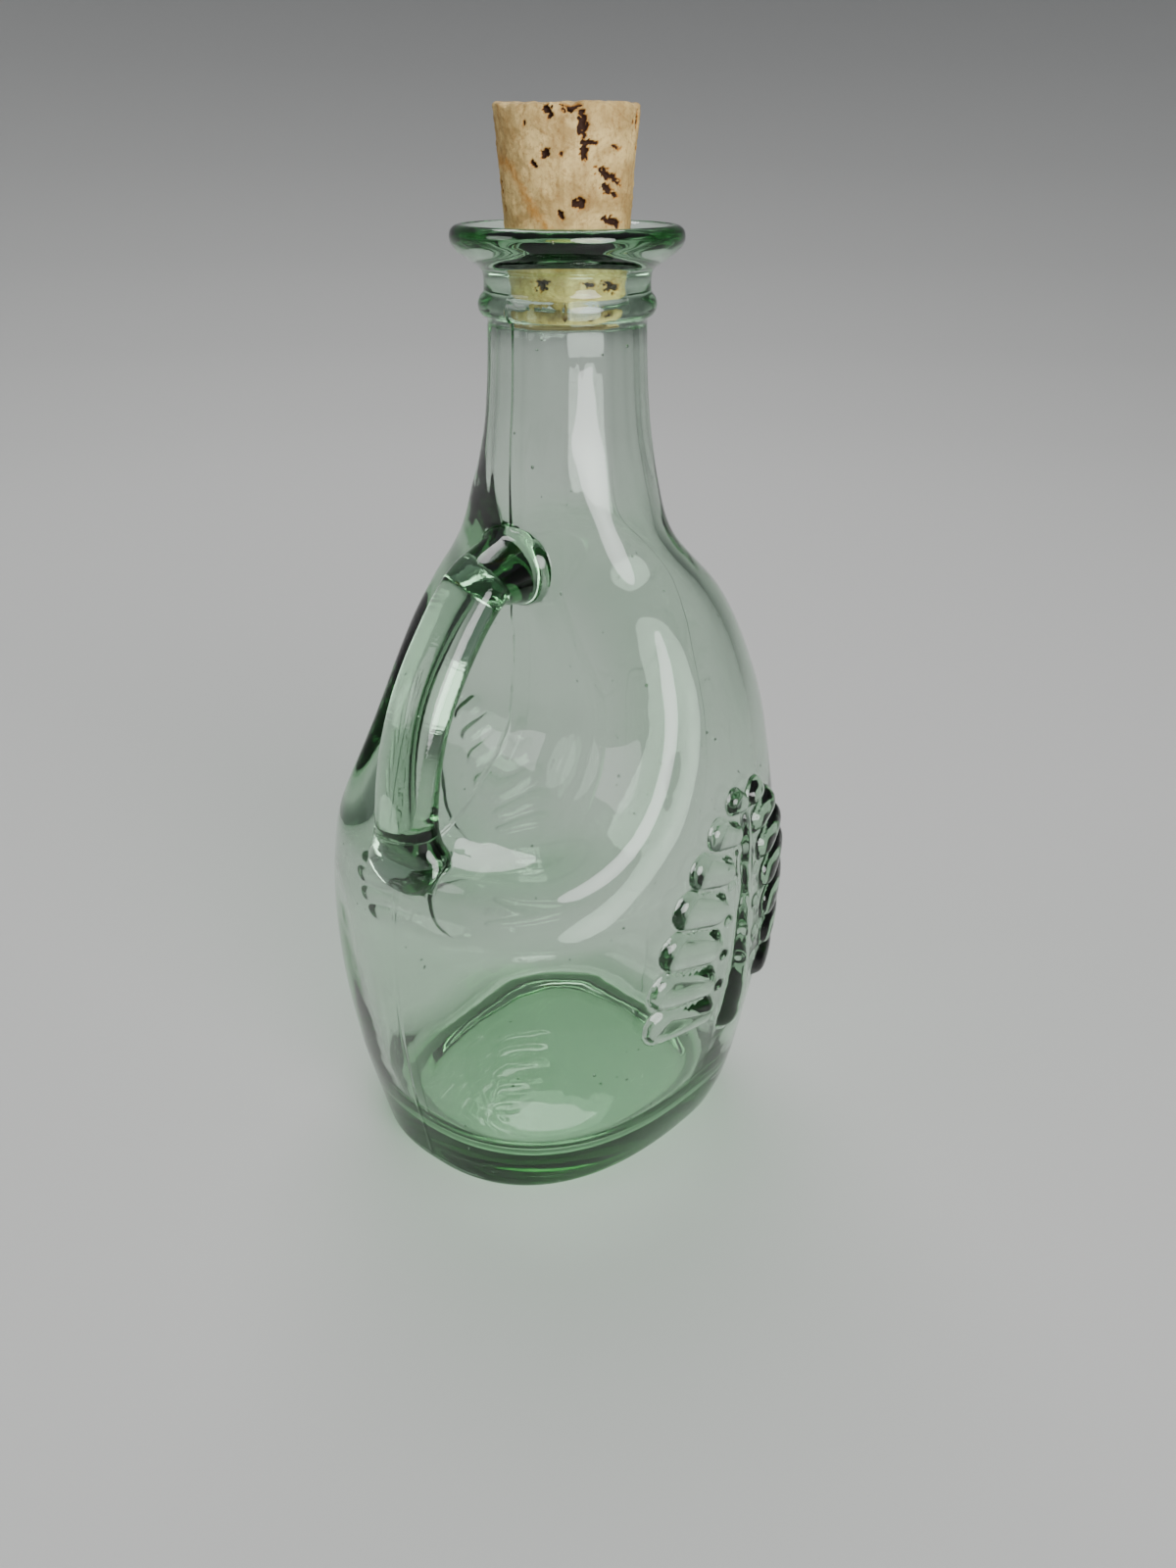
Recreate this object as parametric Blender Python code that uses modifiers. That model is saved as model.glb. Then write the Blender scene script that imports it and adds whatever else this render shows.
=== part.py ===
"""Syrup jar of pale bottle-green glass with a bridged finger handle, leaf relief and a tapered cork.

Origin: middle of the jar's footprint, on the surface it stands on. +Z is up, the handle points to
-X, and the leaf relief sits on the two broad sides, toward -Y and +Y. Units are metres. The shapes
are worked out round the neck's axis, which stands a little toward +X of the origin.
"""
import math
from functools import lru_cache

import bmesh
import bpy
from mathutils import Vector

# Fits between separate pieces, and cuts
SEAM_GAP = 0.0003
CUT_OVERRUN = 0.004

# Jar body: a lop-sided egg that is fuller toward the handle than away from it
NECK_FOOT_HEIGHT = 0.134
NECK_FOOT_RADIUS = 0.0150
BELLY_TO_HANDLE = 0.0472
BELLY_TO_FRONT = 0.0357
BELLY_TO_SIDE = 0.0394
BODY_WALL = 0.0030

# Rows climb the egg. Height is a share of the neck foot's height. The other three are shares of the
# step from the neck foot's radius out to the belly: toward the handle, to the front, to the sides.
EGG_SHARES = (
    (0.00, 0.80, 0.58, 0.63),
    (0.06, 0.85, 0.73, 0.75),
    (0.16, 0.94, 0.82, 0.87),
    (0.30, 1.00, 0.95, 0.99),
    (0.45, 0.98, 1.00, 1.00),
    (0.60, 0.79, 0.82, 0.94),
    (0.71, 0.58, 0.70, 0.81),
    (0.81, 0.38, 0.53, 0.56),
    (0.90, 0.18, 0.05, 0.21),
    (1.00, 0.00, 0.00, 0.00),
)
SQUARENESS = 2.43
ROUND = 2.0
ROUNDING_START_SHARE = 0.64
ROUNDING_END_SHARE = 0.93

# Finger recess: an upright wall level with the neck that sweeps out into a round floor. The wall is
# crowned like the neck at its top and turns flat further down.
RECESS_WALL_OUT = 0.0150
RECESS_SWEEP_RADIUS = 0.0270
RECESS_SWEEP_HEIGHT = 0.0975
RECESS_FLAT_HEIGHT = 0.080
RECESS_CROWN_POWER = 2.4
RECESS_EDGE_ROUND = 0.0048

# Foot: rounded heel, flat contact ring and a pushed-up underside below a thick floor
HEEL_ROUND = 0.0022
CONTACT_RING_WIDTH = 0.0040
PUSH_UP = 0.0030
FLOOR_THICKNESS = 0.0078
FLOOR_FILLET = 0.0070
FLOOR_CROWN = 0.0012
HALF_WAY_CROWN_SHARE = 0.75

# Neck, neck ring, collar and flared pouring lip, stacked on the neck's foot
NECK_LENGTH = 0.0221
NECK_TOP_RADIUS = 0.0136
NECK_TOP = NECK_FOOT_HEIGHT + NECK_LENGTH
NECK_RING_LENGTH = 0.0039
NECK_RING_RADIUS = 0.0151
COLLAR_BOTTOM = NECK_TOP + NECK_RING_LENGTH
COLLAR_LENGTH = 0.0026
COLLAR_RADIUS = 0.0141
COLLAR_TOP = COLLAR_BOTTOM + COLLAR_LENGTH
LIP_HEIGHT = 0.0079
LIP_RADIUS = 0.0195
JAR_HEIGHT = COLLAR_TOP + LIP_HEIGHT
LIP_RIM_ROUND = 0.0026
LIP_RIM_DEPTH = 0.0046
MOUTH_DEPTH = 0.0042
HALF_WAY_DEPTH_SHARE = 0.60
MOUTH_ROUND = 0.0009
THROAT_LENGTH = 0.0100

# Cork stopper, seated in the mouth
CORK_LENGTH = 0.0306
CORK_SEAT_DEPTH = 0.0129
CORK_TOP_RADIUS = 0.01180
CORK_BOTTOM_RADIUS = 0.0094
CORK_EDGE_ROUND = 0.0007
CORK_SIDES = 40

# Handle: a flattened glass bar that leaves the neck's side of the recess, turns down at a tight
# corner and bows out to a tongue on the belly. Its centre line lies in the mould's plane.
HANDLE_WIDTH = 0.0136
HANDLE_THICKNESS = 0.0086
HANDLE_ROOT_WIDTH = 0.0152
HANDLE_ROOT_THICKNESS = 0.0122
HANDLE_ROOT_BELOW_NECK = 0.0182
HANDLE_CORNER_BELOW_NECK = 0.0200
HANDLE_CORNER_OUT = 0.0245
HANDLE_REACH = 0.0425
HANDLE_FULL_HEIGHT = 0.0760
HANDLE_TONGUE_WIDTH = 0.0168
HANDLE_FOOT_HEIGHT = 0.0635
HANDLE_SQUARENESS = 2.4

# Leaf relief: a club-shaped stem with seven leaflets on each side, once on each broad side
LEAF_TURN_FROM_SIDE = math.radians(6.5)
LEAF_HALF_SPREAD = 0.0258
LEAF_OUTLINE_SHARE = 0.94
LEAFLETS_A_SIDE = 7
LEAFLET_FIRST_HEIGHT = 0.0370
LEAFLET_LAST_HEIGHT = 0.0772
LEAFLET_CROWDING_SHARE = 0.19
LEAFLET_START_LOW = 0.0082
LEAFLET_START_TOP = 0.0009
LEAFLET_TILT = math.radians(18.0)
LEAFLET_HALF_HEIGHT = 0.0031
LEAFLET_TOP_HALF_HEIGHT = 0.0024
LEAFLET_PROUD = 0.0018
LEAFLET_SUNK = 0.0010
LEAFLET_TAPER_SHARE = 0.20
STEM_BOTTOM_HEIGHT = 0.0255
STEM_TOP_HEIGHT = 0.0730
STEM_HALF_WIDTH = 0.0046
STEM_NECK_HALF_WIDTH = 0.0014
STEM_CLUB_SHARE = 0.35

# How finely the solids are divided
FRONT_STEPS = 15
RIM_STEPS = 8
BACK_STEPS = 11
RIM_START = math.radians(88.0)
RIM_END = math.radians(132.0)
COARSE_RING_STEP = 0.0056
INSIDE_RING_STEP = 0.0090
FINE_RING_STEP = 0.0019
HANDLE_SIDES = 20
DROP_SIDES = 10
DROP_RINGS = 8
HANDLE_BOW_STEPS = 10
SOLVE_STEPS = 24
SLOPE_STEP = 0.0004
POLE_MERGE = 0.0001
SHARP_EDGE = math.radians(40.0)

# Where rings lie along rounded and tapered stretches
UNDERSIDE_SHARES = (0.45, 0.80)
HEEL_SHARES = (0.0, 0.35, 0.68)
NECK_SHARES = (0.33, 0.66, 1.0)
NECK_RING_SHARES = (0.1, 0.3, 0.5, 0.7, 0.9)
LIP_FLARE_SHARES = (0.35, 0.70)
LIP_RIM_TURNS = (-75.0, -40.0, -10.0, 20.0, 50.0, 90.0)
FLOOR_FILLET_SHARES = (0.35, 0.68, 1.0)
ROOT_SHARES = (0.0, 0.45, 0.80)
TONGUE_END_SHARES = (0.5, 0.85)


def ease(share):
    """Smooth rise from 0 to 1."""
    share = min(max(share, 0.0), 1.0)
    return share * share * (3.0 - 2.0 * share)


def ease_out(share):
    """Rise from 0 to 1 that starts fast and ends gently."""
    return share * (2.0 - share)


def mix(start, end, share):
    return start + (end - start) * share


def curve_value(rows, column, at):
    """Value of one column of a table at a place in its first column, on a smooth curve."""
    last = len(rows) - 1
    index = 0
    while index < last - 1 and at > rows[index + 1][0]:
        index += 1

    def slope(row):
        low, high = max(row - 1, 0), min(row + 1, last)
        return (rows[high][column] - rows[low][column]) / (rows[high][0] - rows[low][0])

    (left, right) = (rows[index], rows[index + 1])
    step = right[0] - left[0]
    share = min(max((at - left[0]) / step, 0.0), 1.0)
    rise = share * share * (3.0 - 2.0 * share)
    lead = share * (1.0 - share) ** 2
    trail = share * share * (1.0 - share)
    return (mix(left[column], right[column], rise)
            + step * (slope(index) * lead - slope(index + 1) * trail))


@lru_cache(maxsize=None)
def egg_section(height):
    """Reaches of the egg's oval section toward the handle, the front and the sides, and its power."""
    share = min(max(height / NECK_FOOT_HEIGHT, 0.0), 1.0)
    reaches = []
    for column, belly in enumerate((BELLY_TO_HANDLE, BELLY_TO_FRONT, BELLY_TO_SIDE), start=1):
        reaches.append(mix(NECK_FOOT_RADIUS, belly, curve_value(EGG_SHARES, column, share)))
    rounding = ease((share - ROUNDING_START_SHARE) / (ROUNDING_END_SHARE - ROUNDING_START_SHARE))
    return reaches, mix(SQUARENESS, ROUND, rounding)


def egg_radius(angle, height):
    """Radius of the egg before the finger recess is taken out of it."""
    (to_handle, to_front, to_side), power = egg_section(height)
    along, across = math.cos(angle), math.sin(angle)
    reach = to_handle if along < 0.0 else to_front
    total = (abs(along) / reach) ** power + (abs(across) / to_side) ** power
    return total ** (-1.0 / power)


def recess_distance(along, across, height):
    """Distance into the finger recess, negative in the glass behind and below it."""
    crown_share = max(height - RECESS_FLAT_HEIGHT, 0.0) / (NECK_FOOT_HEIGHT - RECESS_FLAT_HEIGHT)
    crown = crown_share ** RECESS_CROWN_POWER / NECK_FOOT_RADIUS
    wall = -RECESS_WALL_OUT + across * across * crown / 2.0
    drop = RECESS_SWEEP_HEIGHT - height
    if drop <= 0.0:
        return wall - along
    inward = max(along - (wall - RECESS_SWEEP_RADIUS), 0.0)
    return RECESS_SWEEP_RADIUS - math.hypot(inward, drop)


def rounded_max(first, second, width):
    overlap = max(width - abs(first - second), 0.0)
    return max(first, second) + overlap * overlap / (4.0 * width)


def glass_radius(angle, height, depth=0.0):
    """Radius at which the glass is the given depth below its outer face."""
    egg = egg_radius(angle, height)
    slope = (egg_radius(angle, height + SLOPE_STEP)
             - egg_radius(angle, height - SLOPE_STEP)) / (2.0 * SLOPE_STEP)
    steepness = math.hypot(1.0, slope)
    along, across = math.cos(angle), math.sin(angle)
    low, high = 0.0, egg + abs(depth) * 2.0
    for _ in range(SOLVE_STEPS):
        middle = (low + high) / 2.0
        outside = rounded_max((middle - egg) / steepness,
                              recess_distance(middle * along, middle * across, height),
                              RECESS_EDGE_ROUND)
        if outside < -depth:
            low = middle
        else:
            high = middle
    return (low + high) / 2.0


def ring_angles():
    """Angles round the jar, closer together where the recess's edge runs."""
    angles = []
    for start, end, steps in ((-RIM_START, RIM_START, FRONT_STEPS),
                              (RIM_START, RIM_END, RIM_STEPS),
                              (RIM_END, 2.0 * math.pi - RIM_END, BACK_STEPS),
                              (2.0 * math.pi - RIM_END, 2.0 * math.pi - RIM_START, RIM_STEPS)):
        angles += [mix(start, end, step / steps) for step in range(steps)]
    return angles


def ring_at(height, radius_of_angle):
    return [Vector((radius_of_angle(angle) * math.cos(angle),
                    radius_of_angle(angle) * math.sin(angle), height)) for angle in ring_angles()]


def round_ring(radius, height):
    return ring_at(height, lambda angle: radius)


def glass_ring(height, depth=0.0):
    return ring_at(height, lambda angle: glass_radius(angle, height, depth))


def heights_between(low, high, wide_step):
    """Ring heights, closer together round the floor of the recess."""
    floor = RECESS_SWEEP_HEIGHT - RECESS_SWEEP_RADIUS
    heights = [low]
    while heights[-1] < high:
        near_floor = abs(heights[-1] - floor) < RECESS_EDGE_ROUND
        heights.append(heights[-1] + (FINE_RING_STEP if near_floor else wide_step))
    last = len(heights) - 1
    stretch = (high - low) / (heights[last] - low)
    return [low + (height - low) * stretch for height in heights]


def loft(name, rings):
    """Closed skin over a stack of rings that starts and ends on a single point."""
    mesh = bmesh.new()
    rows = [[mesh.verts.new(point) for point in ring] for ring in rings]
    for lower, upper in zip(rows, rows[1:]):
        count = max(len(lower), len(upper))
        for step in range(count):
            following = (step + 1) % count
            if len(lower) == 1:
                mesh.faces.new((lower[0], upper[following], upper[step]))
            elif len(upper) == 1:
                mesh.faces.new((lower[step], lower[following], upper[0]))
            else:
                mesh.faces.new((lower[step], lower[following], upper[following], upper[step]))
    bmesh.ops.recalc_face_normals(mesh, faces=mesh.faces)
    data = bpy.data.meshes.new(name)
    mesh.to_mesh(data)
    mesh.free()
    data.shade_smooth()
    data.set_sharp_from_angle(angle=SHARP_EDGE)
    return bpy.data.objects.new(name, data)


def cork_radius(height):
    bottom = JAR_HEIGHT - CORK_SEAT_DEPTH
    share = (height - bottom) / CORK_LENGTH
    return mix(CORK_BOTTOM_RADIUS, CORK_TOP_RADIUS, share)


def underside_rings():
    """Pushed-up underside, flat contact ring and rounded heel."""
    inset = HEEL_ROUND + CONTACT_RING_WIDTH
    rings = [[Vector((0.0, 0.0, PUSH_UP))]]
    for share in UNDERSIDE_SHARES:
        rings.append(ring_at(PUSH_UP * math.sqrt(1.0 - share * share),
                             lambda angle, share=share: (egg_radius(angle, 0.0) - inset) * share))
    rings.append(ring_at(0.0, lambda angle: egg_radius(angle, 0.0) - inset))
    for quarter_share in HEEL_SHARES:
        turn = quarter_share * math.pi / 2.0
        height = HEEL_ROUND * (1.0 - math.cos(turn))
        cut_back = HEEL_ROUND * (1.0 - math.sin(turn))
        rings.append(ring_at(height, lambda angle, height=height, cut_back=cut_back:
                             egg_radius(angle, height) - cut_back))
    return rings


def neck_radius(share):
    """Outer radius of the neck at a share of the way from its foot to the neck ring."""
    return mix(NECK_FOOT_RADIUS, NECK_TOP_RADIUS, ease_out(share))


def neck_rings():
    """Tapered neck and the half-round ring below the collar."""
    rings = []
    for share in NECK_SHARES:
        rings.append(round_ring(neck_radius(share), mix(NECK_FOOT_HEIGHT, NECK_TOP, share)))
    for share in NECK_RING_SHARES:
        base = mix(NECK_TOP_RADIUS, COLLAR_RADIUS, share)
        swell = math.sqrt(math.sin(share * math.pi))
        rings.append(round_ring(mix(base, NECK_RING_RADIUS, swell),
                                mix(NECK_TOP, COLLAR_BOTTOM, share)))
    rings.append(round_ring(COLLAR_RADIUS, COLLAR_BOTTOM))
    rings.append(round_ring(COLLAR_RADIUS, COLLAR_TOP))
    return rings


def lip_rings():
    """Flare above the collar, rounded rim, and the funnel that leads down to the throat."""
    rim_middle = JAR_HEIGHT - LIP_RIM_DEPTH / 2.0
    rim_centre = LIP_RADIUS - LIP_RIM_ROUND
    rings = []
    for share in LIP_FLARE_SHARES:
        rings.append(round_ring(mix(COLLAR_RADIUS, rim_centre, share),
                                mix(COLLAR_TOP, JAR_HEIGHT - LIP_RIM_DEPTH, ease(share))))
    for degrees in LIP_RIM_TURNS:
        turn = math.radians(degrees)
        rings.append(round_ring(rim_centre + LIP_RIM_ROUND * math.cos(turn),
                                rim_middle + LIP_RIM_DEPTH / 2.0 * math.sin(turn)))
    mouth = JAR_HEIGHT - MOUTH_DEPTH
    edge = cork_radius(mouth - MOUTH_ROUND) + SEAM_GAP
    half_way_in = (rim_centre + edge + MOUTH_ROUND) / 2.0
    rings.append(round_ring(half_way_in, JAR_HEIGHT - MOUTH_DEPTH * HALF_WAY_DEPTH_SHARE))
    rings.append(round_ring(edge + MOUTH_ROUND, mouth))
    rings.append(round_ring(edge, mouth - MOUTH_ROUND))
    return rings


def bore_rings():
    """Throat that the cork fits, and the wider neck below it."""
    throat_end = JAR_HEIGHT - THROAT_LENGTH
    below_cork = JAR_HEIGHT - CORK_SEAT_DEPTH - CUT_OVERRUN
    neck_middle = (NECK_FOOT_HEIGHT + below_cork) / 2.0
    middle_share = (neck_middle - NECK_FOOT_HEIGHT) / NECK_LENGTH
    return [round_ring(cork_radius(throat_end) + SEAM_GAP, throat_end),
            round_ring(NECK_TOP_RADIUS - BODY_WALL, below_cork),
            round_ring(neck_radius(middle_share) - BODY_WALL, neck_middle)]


def inside_rings():
    """Inside of the jar from the foot of the neck down to the domed floor."""
    fillet_top = FLOOR_THICKNESS + FLOOR_FILLET
    rings = []
    for height in reversed(heights_between(fillet_top, NECK_FOOT_HEIGHT, INSIDE_RING_STEP)):
        rings.append(glass_ring(height, BODY_WALL))
    for quarter_share in FLOOR_FILLET_SHARES:
        turn = quarter_share * math.pi / 2.0
        height = fillet_top - FLOOR_FILLET * math.sin(turn)
        cut_back = FLOOR_FILLET * (1.0 - math.cos(turn))
        rings.append(ring_at(height, lambda angle, height=height, cut_back=cut_back:
                             glass_radius(angle, height, BODY_WALL) - cut_back))
    half_way = FLOOR_THICKNESS + FLOOR_CROWN * HALF_WAY_CROWN_SHARE
    rings.append([Vector((point.x / 2.0, point.y / 2.0, half_way)) for point in rings[-1]])
    rings.append([Vector((0.0, 0.0, FLOOR_THICKNESS + FLOOR_CROWN))])
    return rings


def make_jar_body():
    rings = underside_rings()
    for height in heights_between(HEEL_ROUND, NECK_FOOT_HEIGHT, COARSE_RING_STEP):
        rings.append(glass_ring(height))
    rings += neck_rings() + lip_rings() + bore_rings() + inside_rings()
    return loft("jar_body", rings)


def surface_point(angle, height, proud=0.0):
    """Point on the jar's outer face, or standing proud of it along its normal."""
    def on_face(turn, level):
        radius = glass_radius(turn, level)
        return Vector((radius * math.cos(turn), radius * math.sin(turn), level))
    point = on_face(angle, height)
    turn_step = SLOPE_STEP / point.xy.length
    sideways = on_face(angle + turn_step, height) - on_face(angle - turn_step, height)
    upward = on_face(angle, height + SLOPE_STEP) - on_face(angle, height - SLOPE_STEP)
    return point + sideways.cross(upward).normalized() * proud


def press_drop(mesh, place, half_width_at, half_length, tilt, side):
    """Raise one drop of the relief on the curved face; its length is turned up by the tilt."""
    drop = bmesh.ops.create_uvsphere(mesh, u_segments=DROP_SIDES, v_segments=DROP_RINGS, radius=1.0)
    (spread, height) = place
    face_angle = -math.pi / 2.0 + LEAF_TURN_FROM_SIDE
    face_radius = glass_radius(face_angle, height)
    for vertex in drop["verts"]:
        (across, thick, along) = vertex.co
        across *= half_width_at(along)
        along *= half_length
        sideways = spread + along * math.cos(tilt) - across * math.sin(tilt)
        level = height + along * math.sin(tilt) + across * math.cos(tilt)
        proud = thick * (LEAFLET_PROUD if thick > 0.0 else LEAFLET_SUNK)
        point = surface_point(face_angle + sideways / face_radius, level, proud)
        point.y *= side
        vertex.co = point


def stem_half_width(along):
    """Half width of the stem, from its club at the bottom, -1, to its tip, 1."""
    slimming = ease((along + 1.0 - STEM_CLUB_SHARE) / (1.0 - STEM_CLUB_SHARE))
    return mix(STEM_HALF_WIDTH, STEM_NECK_HALF_WIDTH, slimming)


def press_leaflet_pair(mesh, climb, side):
    """The two leaflets at a share of the leaf's height, one to each side of the stem."""
    crowded = climb + LEAFLET_CROWDING_SHARE * climb * (1.0 - climb)
    height = mix(LEAFLET_FIRST_HEIGHT, LEAFLET_LAST_HEIGHT, crowded)
    half_height = mix(LEAFLET_HALF_HEIGHT, LEAFLET_TOP_HALF_HEIGHT, climb)
    outer = LEAF_HALF_SPREAD * (1.0 - (climb * LEAF_OUTLINE_SHARE) ** 2)
    inner = mix(LEAFLET_START_LOW, LEAFLET_START_TOP, climb * climb)
    half_length = max((outer - inner) / 2.0, half_height)

    def half_width_at(along):
        return half_height * (1.0 + LEAFLET_TAPER_SHARE * along)

    for hand in (-1.0, 1.0):
        middle = hand * (inner + half_length * math.cos(LEAFLET_TILT))
        press_drop(mesh, (middle, height), half_width_at, hand * half_length, hand * LEAFLET_TILT, side)


def make_leaf_relief():
    """Both leaves as one mesh of separate drops, to be joined to the jar."""
    mesh = bmesh.new()
    half_stem = (STEM_TOP_HEIGHT - STEM_BOTTOM_HEIGHT) / 2.0
    for side in (1.0, -1.0):
        press_drop(mesh, (0.0, STEM_BOTTOM_HEIGHT + half_stem), stem_half_width, half_stem,
                   math.pi / 2.0, side)
        for number in range(LEAFLETS_A_SIDE):
            press_leaflet_pair(mesh, number / (LEAFLETS_A_SIDE - 1), side)
    bmesh.ops.recalc_face_normals(mesh, faces=mesh.faces)
    data = bpy.data.meshes.new("leaf_relief")
    mesh.to_mesh(data)
    mesh.free()
    data.shade_smooth()
    return bpy.data.objects.new("leaf_relief", data)


def handle_path():
    """Centre line as (distance out, height, thickness, width), from the shoulder to the tongue."""
    root_out = RECESS_WALL_OUT - CUT_OVERRUN
    root_height = NECK_FOOT_HEIGHT - HANDLE_ROOT_BELOW_NECK
    corner_height = NECK_FOOT_HEIGHT - HANDLE_CORNER_BELOW_NECK
    points = []
    for share in ROOT_SHARES:
        slimming = ease(share)
        points.append((mix(root_out, HANDLE_CORNER_OUT, share),
                       mix(root_height, corner_height, share * share),
                       mix(HANDLE_ROOT_THICKNESS, HANDLE_THICKNESS, slimming),
                       mix(HANDLE_ROOT_WIDTH, HANDLE_WIDTH, slimming)))
    for step in range(HANDLE_BOW_STEPS + 1):
        share = step / HANDLE_BOW_STEPS
        points.append((mix(HANDLE_CORNER_OUT, HANDLE_REACH, ease_out(share)),
                       mix(corner_height, HANDLE_FULL_HEIGHT, share),
                       HANDLE_THICKNESS, HANDLE_WIDTH))
    tongue_end = HANDLE_FOOT_HEIGHT + HANDLE_THICKNESS / 2.0
    tongue_middle = (HANDLE_FULL_HEIGHT + tongue_end) / 2.0
    points.append((HANDLE_REACH, tongue_middle, HANDLE_THICKNESS, HANDLE_TONGUE_WIDTH))
    points.append((HANDLE_REACH, tongue_end, HANDLE_THICKNESS, HANDLE_WIDTH))
    return points


def rounded_section(centre, thick_way, thickness, width):
    """Ring of points round a flattened section, square to the handle's run."""
    power = 2.0 / HANDLE_SQUARENESS
    ring = []
    for side in range(HANDLE_SIDES):
        turn = side / HANDLE_SIDES * 2.0 * math.pi
        thick = math.copysign(abs(math.cos(turn)) ** power, math.cos(turn)) * thickness / 2.0
        wide = math.copysign(abs(math.sin(turn)) ** power, math.sin(turn)) * width / 2.0
        ring.append(centre + thick_way * thick + Vector((0.0, wide, 0.0)))
    return ring


def make_handle():
    """Loft of flattened sections along the handle's path, with a rounded tongue at its lower end."""
    path = handle_path()
    rings = []
    for index, (out, height, thickness, width) in enumerate(path):
        (before, after) = (path[max(index - 1, 0)], path[min(index + 1, len(path) - 1)])
        run = Vector((before[0] - after[0], 0.0, after[1] - before[1])).normalized()
        thick_way = Vector((run.z, 0.0, -run.x))
        rings.append(rounded_section(Vector((-out, 0.0, height)), thick_way, thickness, width))
    start = sum(rings[0], Vector()) / HANDLE_SIDES
    end = Vector((-path[-1][0], 0.0, path[-1][1]))
    tongue_edge = rings[-1]
    for lower_share in TONGUE_END_SHARES:
        shrink = math.sqrt(1.0 - lower_share * lower_share)
        drop = Vector((0.0, 0.0, -HANDLE_THICKNESS / 2.0 * lower_share))
        rings.append([end + (point - end) * shrink + drop for point in tongue_edge])
    tip = end - Vector((0.0, 0.0, HANDLE_THICKNESS / 2.0))
    return loft("jar_handle", [[start]] + rings + [[tip]])


def make_handle_trimmer():
    """The jar's outer face grown by the seam gap, on the jar's own rings, so that the faces match."""
    heights = heights_between(HEEL_ROUND, NECK_FOOT_HEIGHT, COARSE_RING_STEP)
    rings = [glass_ring(height, -SEAM_GAP) for height in heights]
    low, high = Vector((0.0, 0.0, heights[0])), Vector((0.0, 0.0, heights[-1]))
    return loft("handle_trimmer", [[low]] + rings + [[high]])


def make_cork():
    """Tapered stopper: a turned profile, standing on its own bottom face."""
    profile = ((0.0, CORK_LENGTH),
               (CORK_TOP_RADIUS - CORK_EDGE_ROUND, CORK_LENGTH),
               (CORK_TOP_RADIUS, CORK_LENGTH - CORK_EDGE_ROUND),
               (CORK_BOTTOM_RADIUS, CORK_EDGE_ROUND),
               (CORK_BOTTOM_RADIUS - CORK_EDGE_ROUND, 0.0),
               (0.0, 0.0))
    data = bpy.data.meshes.new("cork_stopper")
    edges = [(index, index + 1) for index in range(len(profile) - 1)]
    data.from_pydata([(radius, 0.0, height) for radius, height in profile], edges, [])
    cork = bpy.data.objects.new("cork_stopper", data)
    cork.location.z = JAR_HEIGHT - CORK_SEAT_DEPTH
    turning = cork.modifiers.new("turned", "SCREW")
    turning.steps = CORK_SIDES
    turning.render_steps = CORK_SIDES
    turning.use_merge_vertices = True
    turning.merge_threshold = POLE_MERGE
    turning.use_smooth_shade = True
    return cork


def make_material(name, colour, roughness, transmission=0.0):
    material = bpy.data.materials.new(name)
    material.use_nodes = True
    shader = material.node_tree.nodes["Principled BSDF"]
    shader.inputs["Base Color"].default_value = (*colour, 1.0)
    shader.inputs["Roughness"].default_value = roughness
    shader.inputs["Metallic"].default_value = 0.0
    shader.inputs["Transmission Weight"].default_value = transmission
    return material


def boolean(target, tool, operation):
    modifier = target.modifiers.new(tool.name, "BOOLEAN")
    modifier.operation = operation
    modifier.solver = "EXACT"
    modifier.object = tool
    tool.hide_render = True
    tool.display_type = "WIRE"


def build():
    for leftover in list(bpy.data.objects):
        bpy.data.objects.remove(leftover)
    jar = bpy.data.collections.new("syrup_jar")
    cutters = bpy.data.collections.new("cutters")
    for collection in (jar, cutters):
        bpy.context.scene.collection.children.link(collection)

    body = make_jar_body()
    handle = make_handle()
    cork = make_cork()
    relief = make_leaf_relief()
    trimmer = make_handle_trimmer()
    neck_axis = bpy.data.objects.new("neck_axis", None)
    neck_axis.location.x = (BELLY_TO_HANDLE - BELLY_TO_FRONT) / 2.0
    jar.objects.link(neck_axis)
    for piece in (body, handle, cork):
        jar.objects.link(piece)
        piece.parent = neck_axis
    for tool in (relief, trimmer):
        cutters.objects.link(tool)
        tool.parent = neck_axis
    boolean(body, relief, "UNION")
    boolean(handle, trimmer, "DIFFERENCE")

    glass = make_material("bottle_glass", (0.45, 0.62, 0.50), 0.05, transmission=0.9)
    thick_glass = make_material("thick_bottle_glass", (0.30, 0.52, 0.38), 0.05, transmission=0.9)
    natural_cork = make_material("natural_cork", (0.62, 0.42, 0.25), 0.85)
    body.data.materials.append(glass)
    handle.data.materials.append(thick_glass)
    cork.data.materials.append(natural_cork)


build()
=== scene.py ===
"""Look of the syrup jar: one fused jug of pale bottle-green glass and its tapered natural cork.

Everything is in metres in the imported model's frame, +Z up. The handle points to -X. The jug is a
stack of rings round the neck's axis, which stands a little toward +X of the origin.
"""
import math

import bmesh
import bpy
import numpy as np
from mathutils import Matrix, Vector, noise


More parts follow.
